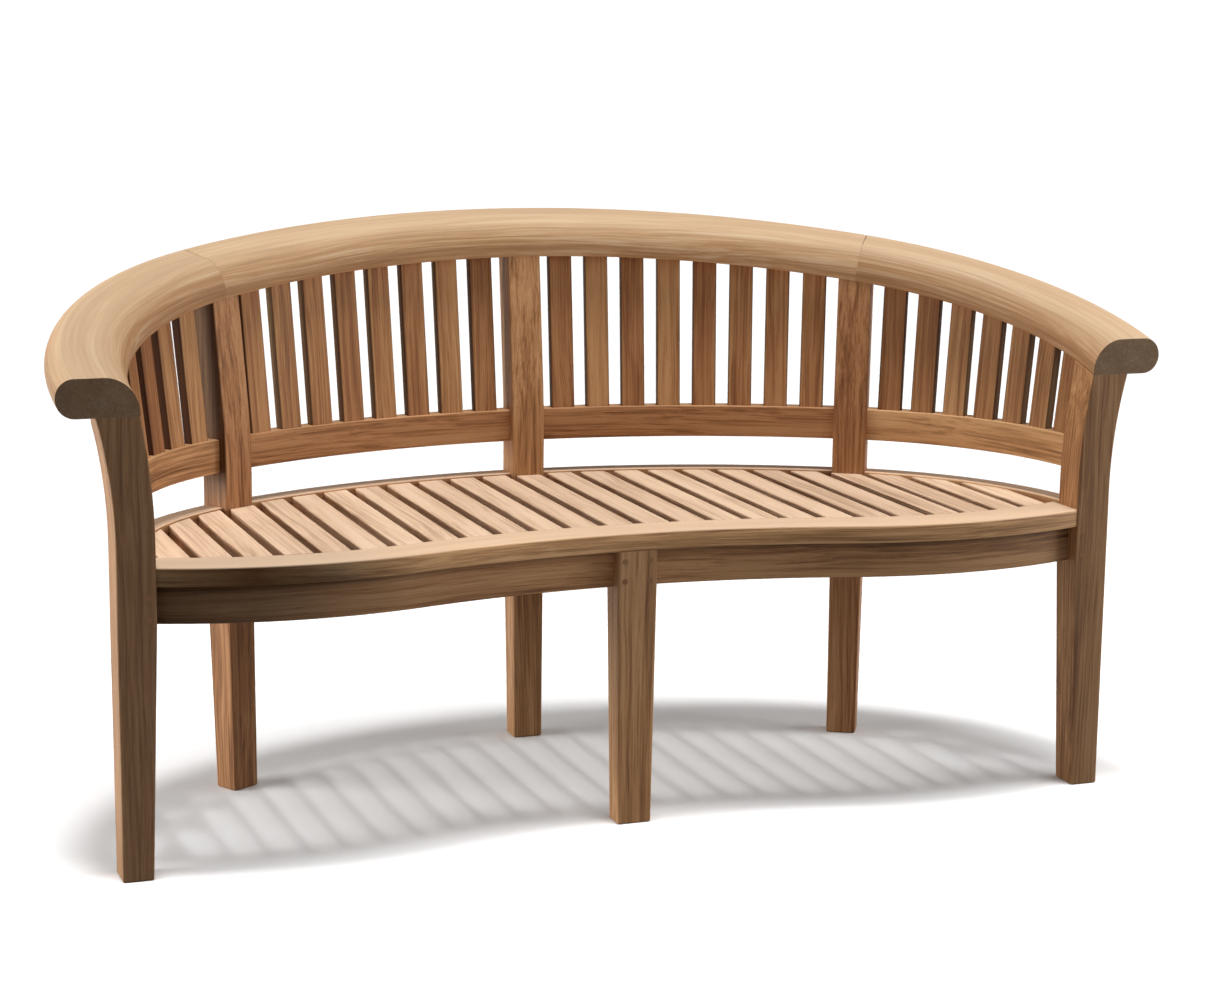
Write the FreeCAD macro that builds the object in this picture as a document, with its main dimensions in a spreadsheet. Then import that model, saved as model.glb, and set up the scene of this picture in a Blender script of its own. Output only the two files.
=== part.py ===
import FreeCAD, Part
import Sketcher
import math
import os
import re

# A teak banana bench: five posts on a curved plan carry a sloping crest rail, a slatted
# back and a wavy slatted seat, with a sixth leg under the middle of the front edge.
# Millimetres, +Z up, +X to the sitter's left arm as seen from the front, -Y to the front.
# The origin is on the floor under the middle of the bench's box.

# Driving dimensions
SIZES = [
    ("overall_width", 1592),
    ("overall_depth", 660),
    ("seat_height", 415.5),
    # back: plan arc at the inner faces of the posts, which rise upright and then bend to a rake
    ("back_radius", 940),
    ("post_angle", 30.7),
    ("back_rake", 6.5),
    ("back_bend_height", 516),
    ("back_bend_radius", 900),
    # crest rail: underside height at the middle of the back, slope and section
    ("crest_height", 748),
    ("crest_tilt", 14.4),
    ("crest_width", 107),
    ("crest_thickness", 50.5),
    ("crest_inner_round", 44),
    ("bullnose_flats", 6),
    ("inner_round_flats", 4),
    # back posts
    ("post_width", 51),
    ("post_depth", 48),
    ("post_foot_width", 45),
    ("post_foot_depth", 38),
    ("post_foot_lead", 6),
    # arm posts
    ("arm_post_width", 51.5),
    ("arm_post_top_width", 57),
    ("arm_post_depth", 56),
    ("arm_post_foot_width", 41),
    ("arm_post_foot_depth", 48),
    ("arm_post_proud", 1.5),
    ("arm_flare", 15.9),
    ("arm_flare_start", 440),
    # centre front leg
    ("leg_width", 58),
    ("leg_foot_width", 49),
    ("leg_foot_depth", 36),
    # wavy front edge of the seat: a hollow in the middle and a bulge at each end
    ("hollow_radius", 1150),
    ("bulge_radius", 614),
    ("bulge_run", 201),
    # seat
    ("board_thickness", 25.5),
    ("front_board_width", 66),
    ("rear_board_setback", 10),
    ("rear_board_width", 35),
    ("rear_board_proud", 2),
    ("seat_slat_width", 39),
    ("seat_end_gap", 16.7),
    ("seat_slats_each_side", 12),
    ("slat_fit", 0.5),
    ("notch_ease", 2),
    # aprons, bearers and stretcher under the seat
    ("apron_height", 53),
    ("apron_thickness", 24),
    ("apron_setback", 20),
    ("rear_apron_setback", 12),
    ("rear_apron_thickness", 22),
    ("bearer_width", 34),
    ("bearer_height", 28),
    ("bearer_fit", 0.3),
    ("stretcher_width", 22),
    ("stretcher_height", 45),
    # lower back rails and back slats
    ("lower_rail_gap", 51.5),
    ("lower_rail_height", 48),
    ("lower_rail_thickness", 30),
    ("lower_rail_setback", 14),
    ("slat_width", 36.5),
    ("slat_thickness", 14.5),
    ("slat_setback", 20),
    ("slat_housing", 12),
    ("back_bay_slats", 8),
    ("arm_bay_slats", 7),
    # tenons and pegs
    ("tenon_depth", 18),
    ("tenon_grip", 12),
    ("tenon_thickness", 12),
    ("tenon_shoulder", 9),
    ("top_tenon_width", 28),
    ("top_tenon_depth", 22),
    ("top_tenon_height", 22),
    ("tenon_fit", 0.3),
    ("peg_radius", 4),
    ("peg_flats", 16),
    ("peg_length", 36),
    ("peg_inset", 10.5),
    ("peg_spacing", 28),
    ("peg_drop", 1.5),
    ("peg_fit", 0.1),
]

# Places and sizes that follow from the driving dimensions
LAYOUT = [
    ("seat_under", "seat_height - board_thickness"),
    ("apron_under", "seat_under - apron_height"),
    ("apron_middle", "seat_under - apron_height / 2"),
    ("lean", "tan(back_rake)"),
    ("fall", "tan(crest_tilt)"),
    # arm posts stand at the outer ends of the front edge
    ("bulge_y", "bulge_radius - overall_depth / 2"),
    ("arm_front_y", "bulge_y - sqrt(bulge_radius ^ 2 - bulge_run ^ 2) - arm_post_proud"),
    ("arm_back_y", "arm_front_y + arm_post_depth"),
    # crest rail origin: its inner lower edge at the middle of the back
    ("bullnose", "crest_thickness / 2"),
    ("crest_reach", "(crest_width - bullnose) * cos(crest_tilt) - bullnose * sin(crest_tilt) + bullnose"),
    ("crest_y", "overall_depth / 2 - crest_reach"),
    # wide arc of the back at seat level, with the side posts at its ends
    ("back_y", "crest_y - (crest_height - back_bend_height) * lean"),
    ("back_centre_y", "back_y - back_radius"),
    ("post_x", "back_radius * sin(post_angle)"),
    ("post_y", "back_centre_y + back_radius * cos(post_angle)"),
    # side posts lean out to meet the crest rail there
    ("side_rise", "crest_height - back_bend_height - fall * (crest_y - post_y)"),
    ("side_lean", "lean * side_rise / (1 - lean * fall * cos(post_angle))"),
    ("side_top", "back_bend_height + side_lean / lean"),
    ("centre_lean", "crest_y - back_y"),
    # bend of the back posts
    ("bend_run", "back_bend_radius * tan(back_rake / 2)"),
    ("bend_low", "back_bend_height - bend_run"),
    ("bend_high", "back_bend_height + bend_run * cos(back_rake)"),
    ("bend_shift", "bend_run * sin(back_rake)"),
    # crest arcs, measured in the sloping plane of the rail's underside
    ("joint_x", "post_x + side_lean * sin(post_angle)"),
    ("joint_drop", "(crest_y - post_y - side_lean * cos(post_angle)) / cos(crest_tilt)"),
    ("joint_angle", "2 * atan(joint_drop / joint_x) / 1 deg"),
    ("crest_radius", "joint_x / sin(joint_angle)"),
    ("crest_arm_radius", "(overall_width / 2 - crest_width - joint_x) / (1 - sin(joint_angle))"),
    ("crest_arm_x", "(crest_radius - crest_arm_radius) * sin(joint_angle)"),
    ("crest_arm_y", "(crest_radius - crest_arm_radius) * cos(joint_angle) - crest_radius"),
    ("crest_end_run", "crest_arm_y + (crest_y - arm_front_y) / cos(crest_tilt)"),
    ("crest_end_angle", "90 + asin(crest_end_run / crest_arm_radius) / 1 deg"),
    # arm posts: their tops under the ends of the crest rail, their flare down to the seat
    ("arm_top", "crest_height - (crest_y - arm_front_y) * fall"),
    ("arm_top_x", "crest_arm_x + sqrt(crest_arm_radius ^ 2 - crest_end_run ^ 2)"),
    ("arm_rise", "arm_top - arm_flare_start"),
    ("half_seat", "arm_top_x - arm_flare"),
    ("outer_flare", "arm_flare + arm_post_top_width - arm_post_width"),
    ("inner_flare_radius", "(arm_rise ^ 2 + arm_flare ^ 2) / (2 * arm_flare)"),
    ("outer_flare_radius", "(arm_rise ^ 2 + outer_flare ^ 2) / (2 * outer_flare)"),
    # wavy front edge of the seat
    ("bulge_offset", "half_seat - bulge_run"),
    ("wave_reach", "hollow_radius + bulge_radius"),
    ("hollow_y", "bulge_y - sqrt(wave_reach ^ 2 - bulge_offset ^ 2)"),
    ("wave_angle", "asin(bulge_offset / wave_reach) / 1 deg"),
    ("front_y", "hollow_y + hollow_radius"),
    # arm arcs at seat level: tangent to the wide arc at the side posts, through the arm posts' backs
    ("arm_run", "half_seat - post_x"),
    ("arm_fall", "post_y - arm_back_y"),
    ("arm_turn_in", "arm_fall * cos(post_angle) - arm_run * sin(post_angle)"),
    ("arm_radius", "(arm_run ^ 2 + arm_fall ^ 2) / 2 / arm_turn_in"),
    ("arm_centre_x", "post_x - arm_radius * sin(post_angle)"),
    ("arm_centre_y", "post_y - arm_radius * cos(post_angle)"),
    ("arm_end_turn", "acos((arm_back_y - arm_post_depth / 2 - arm_centre_y) / arm_radius) / 1 deg"),
    # lower rails and back slats
    ("rail_under", "seat_height + lower_rail_gap"),
    ("rail_top", "rail_under + lower_rail_height"),
    ("rail_middle", "rail_under + lower_rail_height / 2"),
    ("slat_offset", "slat_setback + slat_thickness / 2"),
    ("back_slat_turn", "2 * asin(slat_width / 2 / (back_radius + slat_offset)) / 1 deg"),
    ("back_post_turn", "asin(post_width / 2 / (back_radius + slat_offset)) / 1 deg"),
    ("back_gap_turn", "(post_angle - 2 * back_post_turn - back_bay_slats * back_slat_turn)"
                      " / (back_bay_slats + 1)"),
    ("arm_slat_turn", "2 * asin(slat_width / 2 / (arm_radius + slat_offset)) / 1 deg"),
    ("arm_first_turn", "post_angle + asin(post_width / 2 / (arm_radius + slat_offset)) / 1 deg"),
    ("arm_last_turn", "acos((arm_back_y - arm_centre_y) / (arm_radius + slat_offset)) / 1 deg"),
    ("arm_gap_turn", "(arm_last_turn - arm_first_turn - arm_bay_slats * arm_slat_turn)"
                     " / (arm_bay_slats + 1)"),
    # frame under the seat
    ("leg_depth", "apron_setback + apron_thickness"),
    ("bearer_offset", "leg_depth + bearer_fit"),
    ("bearer_under", "seat_under - bearer_height"),
    ("rear_bearer_offset", "bearer_fit + post_foot_lead * (1 - bearer_under / seat_under)"),
    ("bearer_meet_run", "half_seat - bearer_width / 2 - bulge_offset"),
    ("bearer_meet_y", "bulge_y - sqrt((bulge_radius - bearer_offset - bearer_width / 2) ^ 2"
                      " - bearer_meet_run ^ 2)"),
    ("bearer_end_turn", "acos((bearer_meet_y - arm_centre_y) / (arm_radius - bearer_width / 2)) / 1 deg"),
    ("apron_end_turn", "asin((bulge_run + tenon_grip) / (bulge_radius - apron_setback)) / 1 deg"),
    ("apron_tenon_y", "bulge_y - sqrt((bulge_radius - apron_setback - apron_thickness / 2) ^ 2"
                      " - bulge_run ^ 2)"),
    ("board_end_turn", "asin((bulge_run + tenon_grip) / (bulge_radius - front_board_width)) / 1 deg"),
    # seat field that the slats fill
    ("seat_slat_pitch", "(half_seat - seat_end_gap - seat_slat_width / 2) / seat_slats_each_side"),
    ("field_offset", "rear_board_setback - slat_fit"),
    ("notch_side", "post_width / 2 + slat_fit"),
    ("notch_face", "back_radius - slat_fit"),
    ("notch_x", "notch_face * sin(post_angle) - notch_side * cos(post_angle) - notch_ease"),
    ("notch_y", "back_centre_y + notch_face * cos(post_angle) + notch_side * sin(post_angle)"),
    ("field_side", "half_seat + field_offset"),
    ("field_radius", "arm_radius + field_offset"),
    ("field_arm_x", "arm_centre_x + field_radius * sin(arm_end_turn)"),
    ("field_arm_y", "arm_centre_y + field_radius * cos(arm_end_turn)"),
    ("field_bulge", "bulge_radius - front_board_width - slat_fit"),
    ("field_hollow", "hollow_radius + front_board_width + slat_fit"),
    ("field_front_x", "bulge_offset - field_bulge * sin(wave_angle)"),
    ("field_front_y", "bulge_y - field_bulge * cos(wave_angle)"),
    ("field_end_y", "bulge_y - sqrt(field_bulge ^ 2 - (field_side - bulge_offset) ^ 2)"),
]

doc = FreeCAD.newDocument("banana_bench")


def fill_sheet(name, rows, formula):
    """Write named cells, plain numbers or formulas, one below the other."""
    sheet = doc.addObject("Spreadsheet::Sheet", name)
    for row, (alias, content) in enumerate(rows, start=1):
        owner.update({alias: name})
        sheet.set("A%d" % row, "=" + bound(content) if formula else str(content))
        sheet.setAlias("A%d" % row, alias)
    doc.recompute()
    return sheet


def bound(text):
    """Turn plain size names in an expression into references to their sheet."""
    return re.sub(r"[a-z_]+", lambda word: sheet_name(word.group()), str(text))


def sheet_name(word):
    """Return the sheet reference of a size, or the word itself for anything else."""
    return "%s.%s" % (owner[word], word) if word in owner else word


owner = {}
sizes = fill_sheet("Sizes", SIZES, False)
layout = fill_sheet("Layout", LAYOUT, True)


def value(text):
    """Give the present value of an expression as a plain number."""
    result = sizes.evalExpression(bound(text))
    return float(getattr(result, "Value", result))


# Building blocks

def arc_middle(start, end, radius, side):
    """Find the middle of a minor arc that bulges to one side of its chord."""
    chord = end - start
    sagitta = radius - math.sqrt(radius ** 2 - (chord.Length / 2) ** 2)
    across = FreeCAD.Vector(-chord.y, chord.x, 0).normalize()
    return (start + end) / 2 + across * side * sagitta


def outline(body, name, plane, corners, offset=None):
    """Draw a closed sketch. A corner is (x, y), or (x, y, radius, side) to start an arc."""
    sketch = body.newObject("Sketcher::SketchObject", name)
    support = [item for item in body.Origin.OriginFeatures if item.Role == plane]
    sketch.AttachmentSupport = [(support[0], "")]
    sketch.MapMode = "FlatFace"
    if offset:
        sketch.setExpression("AttachmentOffset", bound(offset))
    points = [FreeCAD.Vector(value(corner[0]), value(corner[1]), 0) for corner in corners]
    heads = []
    tails = []
    for index, corner in enumerate(corners):
        start = points[index]
        end = points[(index + 1) % len(points)]
        if len(corner) == 2:
            edge = Part.LineSegment(start, end)
        else:
            edge = Part.Arc(start, arc_middle(start, end, value(corner[2]), corner[3]), end)
        sketch.addGeometry(edge, False)
        forward = (sketch.getPoint(index, 1) - start).Length < (sketch.getPoint(index, 2) - start).Length
        heads.append(1 if forward else 2)
        tails.append(2 if forward else 1)
    for index, corner in enumerate(corners):
        before = index - 1 if index else len(corners) - 1
        sketch.addConstraint(Sketcher.Constraint("Coincident", before, tails[before], index, heads[index]))
        for kind, place, size in (("DistanceX", points[index].x, corner[0]),
                                  ("DistanceY", points[index].y, corner[1])):
            row = sketch.addConstraint(Sketcher.Constraint(kind, -1, 1, index, heads[index], place))
            sketch.setExpression("Constraints[%d]" % row, bound(size))
        if len(corner) > 2:
            row = sketch.addConstraint(Sketcher.Constraint("Radius", index, value(corner[2])))
            sketch.setExpression("Constraints[%d]" % row, bound(corner[2]))
    return sketch


def new_body(label, frame=None):
    """Start a body, in its own frame where one is given."""
    body = doc.addObject("PartDesign::Body", label)
    body.Label = label
    if frame:
        body.setExpression("Placement", bound(frame))
    return body


def revolve(body, name, corners, centre, middle, sweep):
    """Sweep a section about an upright axis, evenly to both sides of its middle angle."""
    stand = "placement(vector(%s; 0; -(%s)); rotation(vector(0; 1; 0); 90 - (%s)))"
    sketch = outline(body, name + "_section", "XZ_Plane", corners, stand % (centre[0], centre[1], middle))
    feature = body.newObject("PartDesign::Revolution", name)
    feature.Profile = sketch
    feature.ReferenceAxis = (sketch, ["V_Axis"])
    feature.Midplane = True
    feature.setExpression("Angle", bound(sweep))
    return feature


def strip(body, name, inner, width, bottom, top, centre, first, last):
    """Add a level curved strip between two plan angles, measured from +Y towards +X."""
    outer = "(%s) + %s" % (inner, width)
    corners = [(inner, bottom), (outer, bottom), (outer, top), (inner, top)]
    middle = "((%s) + (%s)) / 2" % (first, last)
    sweep = "abs((%s) - (%s))" % (last, first)
    return revolve(body, name, corners, centre, middle, sweep)


def loft(body, name, levels):
    """Loft flat-sided timber through rectangles given as (half width, front, back, height)."""
    sketches = []
    for index, (half, front, back, height) in enumerate(levels):
        corners = [("-(%s)" % half, front), (half, front), (half, back), ("-(%s)" % half, back)]
        lift = "placement(vector(0; 0; %s); rotation(vector(0; 0; 1); 0))" % height
        sketches.append(outline(body, "%s_level_%d" % (name, index), "XY_Plane", corners, lift))
    feature = body.newObject("PartDesign::AdditiveLoft", name)
    feature.Profile = sketches[0]
    feature.Sections = sketches[1:]
    feature.Ruled = True
    return feature


def block(label, frame, low, high):
    """Make a squared block between two corners of a frame."""
    box = doc.addObject("Part::Box", label)
    box.Label = label
    for size, near, far in zip(("Length", "Width", "Height"), low, high):
        box.setExpression(size, bound("(%s) - (%s)" % (far, near)))
    place = "%s * placement(vector(%s; %s; %s); rotation(vector(0; 0; 1); 0))"
    box.setExpression("Placement", bound(place % ((frame,) + tuple(low))))
    return box


def tenon(label, frame, low, high):
    """Make a tenon and the slightly larger block that cuts its mortise."""
    solid = block(label + "_tenon", frame, low, high)
    roomy_low = ["(%s) - tenon_fit" % edge for edge in low]
    roomy_high = ["(%s) + tenon_fit" % edge for edge in high]
    return solid, block(label + "_mortise", frame, roomy_low, roomy_high)


def combine(kind, label, base, tool):
    """Join two shapes with a boolean."""
    result = doc.addObject(kind, label)
    result.Label = label
    result.Base = base
    result.Tool = tool
    return result


def cut(label, base, tool):
    """Take one shape away from another."""
    return combine("Part::Cut", label, base, tool)


def group(label, members):
    """Hold several separate solids as one shape."""
    result = doc.addObject("Part::Compound", label)
    result.Label = label
    result.Links = members
    return result


def joined(label, base, tenons):
    """Add tenons to a piece and keep it one solid."""
    result = doc.addObject("Part::MultiFuse", label)
    result.Label = label
    result.Shapes = [base] + tenons
    return result


# Frames
FLOOR = "placement(vector(0; 0; 0); rotation(vector(0; 0; 1); 0))"
ARM_FRONT = "placement(vector(0; arm_front_y; 0); rotation(vector(0; 0; 1); 0))"
LEG_FRONT = "placement(vector(0; front_y; 0); rotation(vector(0; 0; 1); 0))"
CREST = "placement(vector(0; crest_y; crest_height); rotation(vector(1; 0; 0); crest_tilt))"
SIDES = (("left", -1), ("right", 1))


def post_frame(turn):
    """Frame at a back post: X along the back, Y outwards, on the floor."""
    place = "placement(vector(back_radius * sin(%s); back_centre_y + back_radius * cos(%s); 0);"
    return (place + " rotation(vector(0; 0; 1); -(%s)))") % (turn, turn, turn)


def arm_frame(side):
    """Frame at the back face of an arm post: Y outwards, X along the back."""
    place = "placement(vector(%d * half_seat; arm_back_y; 0); rotation(vector(0; 0; 1); %d))"
    return place % (side, -90 * side)


pieces = []


def keep(piece, label):
    """Name a finished piece and put it on the list of nodes."""
    piece.Label = label
    pieces.append(piece)
    return piece


# Everything above the sloping underside of the crest rail, at several depths into it
REACH = "2 * overall_width"


def above(label, depth):
    """Block that fills the space above the crest rail's underside, from a depth into the rail."""
    low = ("-(%s)" % REACH, "-(%s)" % REACH, depth)
    return block(label, CREST, low, (REACH, REACH, "(%s) + overall_width" % depth))


above_underside = above("above_crest_underside", "0")
above_slats = above("above_slat_ends", "slat_housing")
above_mortises = above("above_slat_mortises", "slat_housing + tenon_fit")

# Back posts: tapered below the seat, upright to the lower rail, then bent back to the crest rail
BACK_POSTS = (("left", "-post_angle", "side_lean", "side_top"),
              ("centre", "0", "centre_lean", "crest_height"),
              ("right", "post_angle", "side_lean", "side_top"))
post_blanks = {}
crest_mortises = []
top_tenons = {}
for name, turn, reach, top in BACK_POSTS:
    head_lean = "(%s) + crest_thickness * lean" % reach
    head = "(%s) + crest_thickness" % top
    side_view = [("-post_foot_lead", "0"),
                 ("post_foot_depth - post_foot_lead", "0"),
                 ("post_depth", "seat_under"),
                 ("post_depth", "bend_low", "back_bend_radius", 1),
                 ("post_depth + bend_shift", "bend_high"),
                 ("post_depth + %s" % head_lean, head),
                 (head_lean, head),
                 ("bend_shift", "bend_high", "back_bend_radius", -1),
                 ("0", "bend_low"),
                 ("0", "seat_under")]
    front_view = [("-post_foot_width / 2", "0"),
                  ("post_foot_width / 2", "0"),
                  ("post_width / 2", "seat_under"),
                  ("post_width / 2", head),
                  ("-post_width / 2", head),
                  ("-post_width / 2", "seat_under")]
    views = []
    for view, plane, corners, length in (("side", "YZ_Plane", side_view, "2 * post_width"),
                                         ("front", "XZ_Plane", front_view, "6 * post_depth")):
        label = "back_post_%s_%s" % (name, view)
        body = new_body(label, post_frame(turn))
        sketch = outline(body, label + "_outline", plane, corners)
        views.append(body)
        pad = body.newObject("PartDesign::Pad", label + "_pad")
        pad.Profile = sketch
        pad.Midplane = True
        pad.setExpression("Length", bound(length))
    timber = combine("Part::Common", "back_post_%s_timber" % name, views[0], views[1])
    post_blanks[name] = cut("back_post_%s_trimmed" % name, timber, above_underside)
    middle = "(%s) + post_depth / 2" % reach
    low = ("-top_tenon_width / 2", "%s - top_tenon_depth / 2" % middle, "(%s) - tenon_grip" % top)
    high = ("top_tenon_width / 2", "%s + top_tenon_depth / 2" % middle, "(%s) + top_tenon_height" % top)
    top_tenons[name], mortise = tenon("back_post_%s_top" % name, post_frame(turn), low, high)
    crest_mortises.append(mortise)

# Arm posts: upright outside, tapered below the seat, flared outwards above it
for name, side in SIDES:
    body = new_body("arm_post_%s_timber" % name, ARM_FRONT)
    inner = "half_seat"
    outer = "half_seat + arm_post_width"
    over = "arm_top + crest_thickness"
    profile = [("%s - arm_post_foot_width" % outer, "0"),
               (outer, "0"),
               (outer, "arm_flare_start", "outer_flare_radius", 1),
               ("%s + outer_flare" % outer, "arm_top"),
               ("%s + outer_flare" % outer, over),
               ("arm_top_x", over),
               ("arm_top_x", "arm_top", "inner_flare_radius", -1),
               (inner, "arm_flare_start"),
               (inner, "apron_under")]
    corners = [("%d * (%s)" % (side, corner[0]), corner[1]) + tuple(corner[2:3]) +
               tuple(bulge * side for bulge in corner[3:]) for corner in profile]
    sketch = outline(body, "arm_post_%s_profile" % name, "XZ_Plane", corners)
    pad = body.newObject("PartDesign::Pad", "arm_post_%s_pad" % name)
    pad.Profile = sketch
    pad.Reversed = True
    pad.setExpression("Length", bound("arm_post_depth"))
    taper = [("arm_post_foot_depth", "0"), ("arm_post_depth + tenon_grip", "0"),
             ("arm_post_depth + tenon_grip", "apron_under"), ("arm_post_depth", "apron_under")]
    sketch = outline(body, "arm_post_%s_taper" % name, "YZ_Plane", taper)
    pocket = body.newObject("PartDesign::Pocket", "arm_post_%s_tapered" % name)
    pocket.Profile = sketch
    pocket.Type = "ThroughAll"
    pocket.Midplane = True
    post_blanks["arm_" + name] = cut("arm_post_%s_trimmed" % name, body, above_underside)
    centre = "%d * (arm_top_x + arm_post_top_width / 2)" % side
    middle = "arm_front_y + arm_post_depth / 2"
    low = ("%s - top_tenon_depth / 2" % centre, "%s - top_tenon_width / 2" % middle, "arm_top - tenon_grip")
    high = ("%s + top_tenon_depth / 2" % centre, "%s + top_tenon_width / 2" % middle,
            "arm_top + arm_post_depth * fall + top_tenon_height - tenon_grip")
    top_tenons["arm_" + name], mortise = tenon("arm_post_%s_top" % name, FLOOR, low, high)
    crest_mortises.append(mortise)

# Centre front leg: square below the seat, tapered under the apron
leg_body = new_body("front_leg_timber", LEG_FRONT)
loft(leg_body, "front_leg_loft", (("leg_foot_width / 2", "0", "leg_foot_depth", "0"),
                                  ("leg_width / 2", "0", "leg_depth", "apron_under"),
                                  ("leg_width / 2", "0", "leg_depth", "seat_under")))

# What ends the rails of the back: the three back posts, and the backs of the arm posts
low = ("-(%s)" % REACH, "-(%s)" % REACH, "0")
high = (REACH, "arm_back_y", REACH)
before_arm_backs = block("space_before_arm_backs", FLOOR, low, high)
rail_stops = group("rail_stops", [post_blanks[name] for name, turn, reach, top in BACK_POSTS] +
                   [before_arm_backs])
front_posts = group("front_posts", [leg_body, post_blanks["arm_left"], post_blanks["arm_right"]])

# Bays of the back: name, arc centre, arc radius, first and last plan angle, the posts at its ends
BACK_CENTRE = ("0", "back_centre_y")


def arm_centre(side):
    """Centre of an arm arc in plan."""
    return ("%d * arm_centre_x" % side, "arm_centre_y")


BAYS = (("left_arm", arm_centre(-1), "arm_radius", "-arm_end_turn", "-post_angle", "arm_left", "left"),
        ("left_back", BACK_CENTRE, "back_radius", "-post_angle", "0", "left", "centre"),
        ("right_back", BACK_CENTRE, "back_radius", "0", "post_angle", "centre", "right"),
        ("right_arm", arm_centre(1), "arm_radius", "post_angle", "arm_end_turn", "right", "arm_right"))
FRAMES = {name: post_frame(turn) for name, turn, reach, top in BACK_POSTS}
FRAMES.update({"arm_" + name: arm_frame(side) for name, side in SIDES})

# Back slats, housed in the lower rails and the crest rail
slat_mortises = []
for name, centre, radius, first, last, near, far in BAYS:
    arm = name.endswith("arm")
    count = int(value("arm_bay_slats" if arm else "back_bay_slats"))
    kind = "arm" if arm else "back"
    slats = []
    rooms = []
    for index in range(count):
        start = "arm_first_turn" if arm else "back_post_turn"
        step = "%s + (%d) * %s_gap_turn + (%d) * %s_slat_turn + %s_slat_turn / 2"
        turn = step % (start, index + 1, kind, index, kind, kind)
        turn = "-(%s)" % turn if name.startswith("left") else turn
        place = "placement(vector(%s + (%s) * sin(%s); %s + (%s) * cos(%s); back_bend_height);"
        place += " rotation(vector(0; 0; 1); -(%s))) * placement(vector(0; 0; 0);"
        place += " rotation(vector(1; 0; 0); -back_rake))"
        frame = place % (centre[0], radius, turn, centre[1], radius, turn, turn)
        low = ("-slat_width / 2", "slat_setback", "rail_top - back_bend_height - slat_housing")
        high = ("slat_width / 2", "slat_setback + slat_thickness", "crest_height")
        label = "%s_slat_%d" % (name, index + 1)
        slat, room = tenon(label, frame, low, high)
        slats.append(slat)
        rooms.append(room)
    blanks = group(name + "_slat_blanks", slats)
    keep(cut("back_slats_" + name, blanks, above_slats), "back_slats_" + name)
    room_blanks = group(name + "_slat_room_blanks", rooms)
    slat_mortises.append(cut(name + "_slat_rooms", room_blanks, above_mortises))
slat_rooms = group("slat_rooms", slat_mortises)

# Lower back rails, rear aprons and rear boards, one of each in every bay
post_mortises = {name: [] for name in FRAMES}


def end_tenons(label, near, far, offset, thickness, middle, height):
    """Tenons at the two ends of a curved rail, with their mortises noted on the posts."""
    solids = []
    for name, post, into in ((label + "_near", near, 1), (label + "_far", far, -1)):
        if post == "arm_left":
            low_x, high_x = "-tenon_depth", "tenon_grip"
        elif post == "arm_right":
            low_x, high_x = "-tenon_grip", "tenon_depth"
        elif into > 0:
            low_x, high_x = "post_width / 2 - tenon_depth", "post_width / 2 + tenon_grip"
        else:
            low_x, high_x = "-post_width / 2 - tenon_grip", "-post_width / 2 + tenon_depth"
        radial = "(%s) + %s / 2" % (offset, thickness)
        half = "(%s / 2 - tenon_shoulder)" % height
        low = (low_x, "%s - tenon_thickness / 2" % radial, "%s - %s" % (middle, half))
        high = (high_x, "%s + tenon_thickness / 2" % radial, "%s + %s" % (middle, half))
        solid, mortise = tenon(name, FRAMES[post], low, high)
        solids.append(solid)
        post_mortises[post].append(mortise)
    return solids


rail_tools = group("rail_tools", [rail_stops, slat_rooms])
for name, centre, radius, first, last, near, far in BAYS:
    body = new_body("lower_rail_%s_blank" % name)
    strip(body, name + "_rail_strip", "%s + lower_rail_setback" % radius, "lower_rail_thickness",
          "rail_under", "rail_top", centre, first, last)
    shouldered = cut("lower_rail_%s_shouldered" % name, body, rail_tools)
    tenons = end_tenons("lower_rail_" + name, near, far, "lower_rail_setback", "lower_rail_thickness",
                        "rail_middle", "lower_rail_height")
    keep(joined("lower_rail_%s_tenoned" % name, shouldered, tenons), "lower_rail_" + name)

    body = new_body("rear_apron_%s_blank" % name)
    strip(body, name + "_apron_strip", "%s + rear_apron_setback" % radius, "rear_apron_thickness",
          "apron_under", "seat_under", centre, first, last)
    shouldered = cut("rear_apron_%s_shouldered" % name, body, rail_stops)
    tenons = end_tenons("rear_apron_" + name, near, far, "rear_apron_setback", "rear_apron_thickness",
                        "apron_middle", "apron_height")
    keep(joined("rear_apron_%s_tenoned" % name, shouldered, tenons), "rear_apron_" + name)

    body = new_body("rear_board_%s_blank" % name)
    strip(body, name + "_board_strip", "%s + rear_board_setback" % radius, "rear_board_width",
          "seat_under", "seat_height + rear_board_proud", centre, first, last)
    keep(cut("rear_board_%s_shouldered" % name, body, rail_stops), "rear_board_" + name)

# Crest rail: a bullnosed section with a big round on its inner top edge, in three lengths
def crest_section(radius):
    """Section of the crest rail at an arc's inner radius, its rounds planed in narrow flats."""
    nose = "%s + crest_width - bullnose" % radius
    top_flat = "%s + crest_inner_round" % radius
    corners = [(radius, "0")]
    for flat in range(int(value("bullnose_flats")) + 1):
        turn = "180 * %d / bullnose_flats" % flat
        corners.append(("%s + bullnose * sin(%s)" % (nose, turn), "bullnose - bullnose * cos(%s)" % turn))
    for flat in range(int(value("inner_round_flats")) + 1):
        turn = "90 * %d / inner_round_flats" % flat
        corners.append(("%s - crest_inner_round * sin(%s)" % (top_flat, turn),
                        "crest_thickness - crest_inner_round * (1 - cos(%s))" % turn))
    return corners


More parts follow.
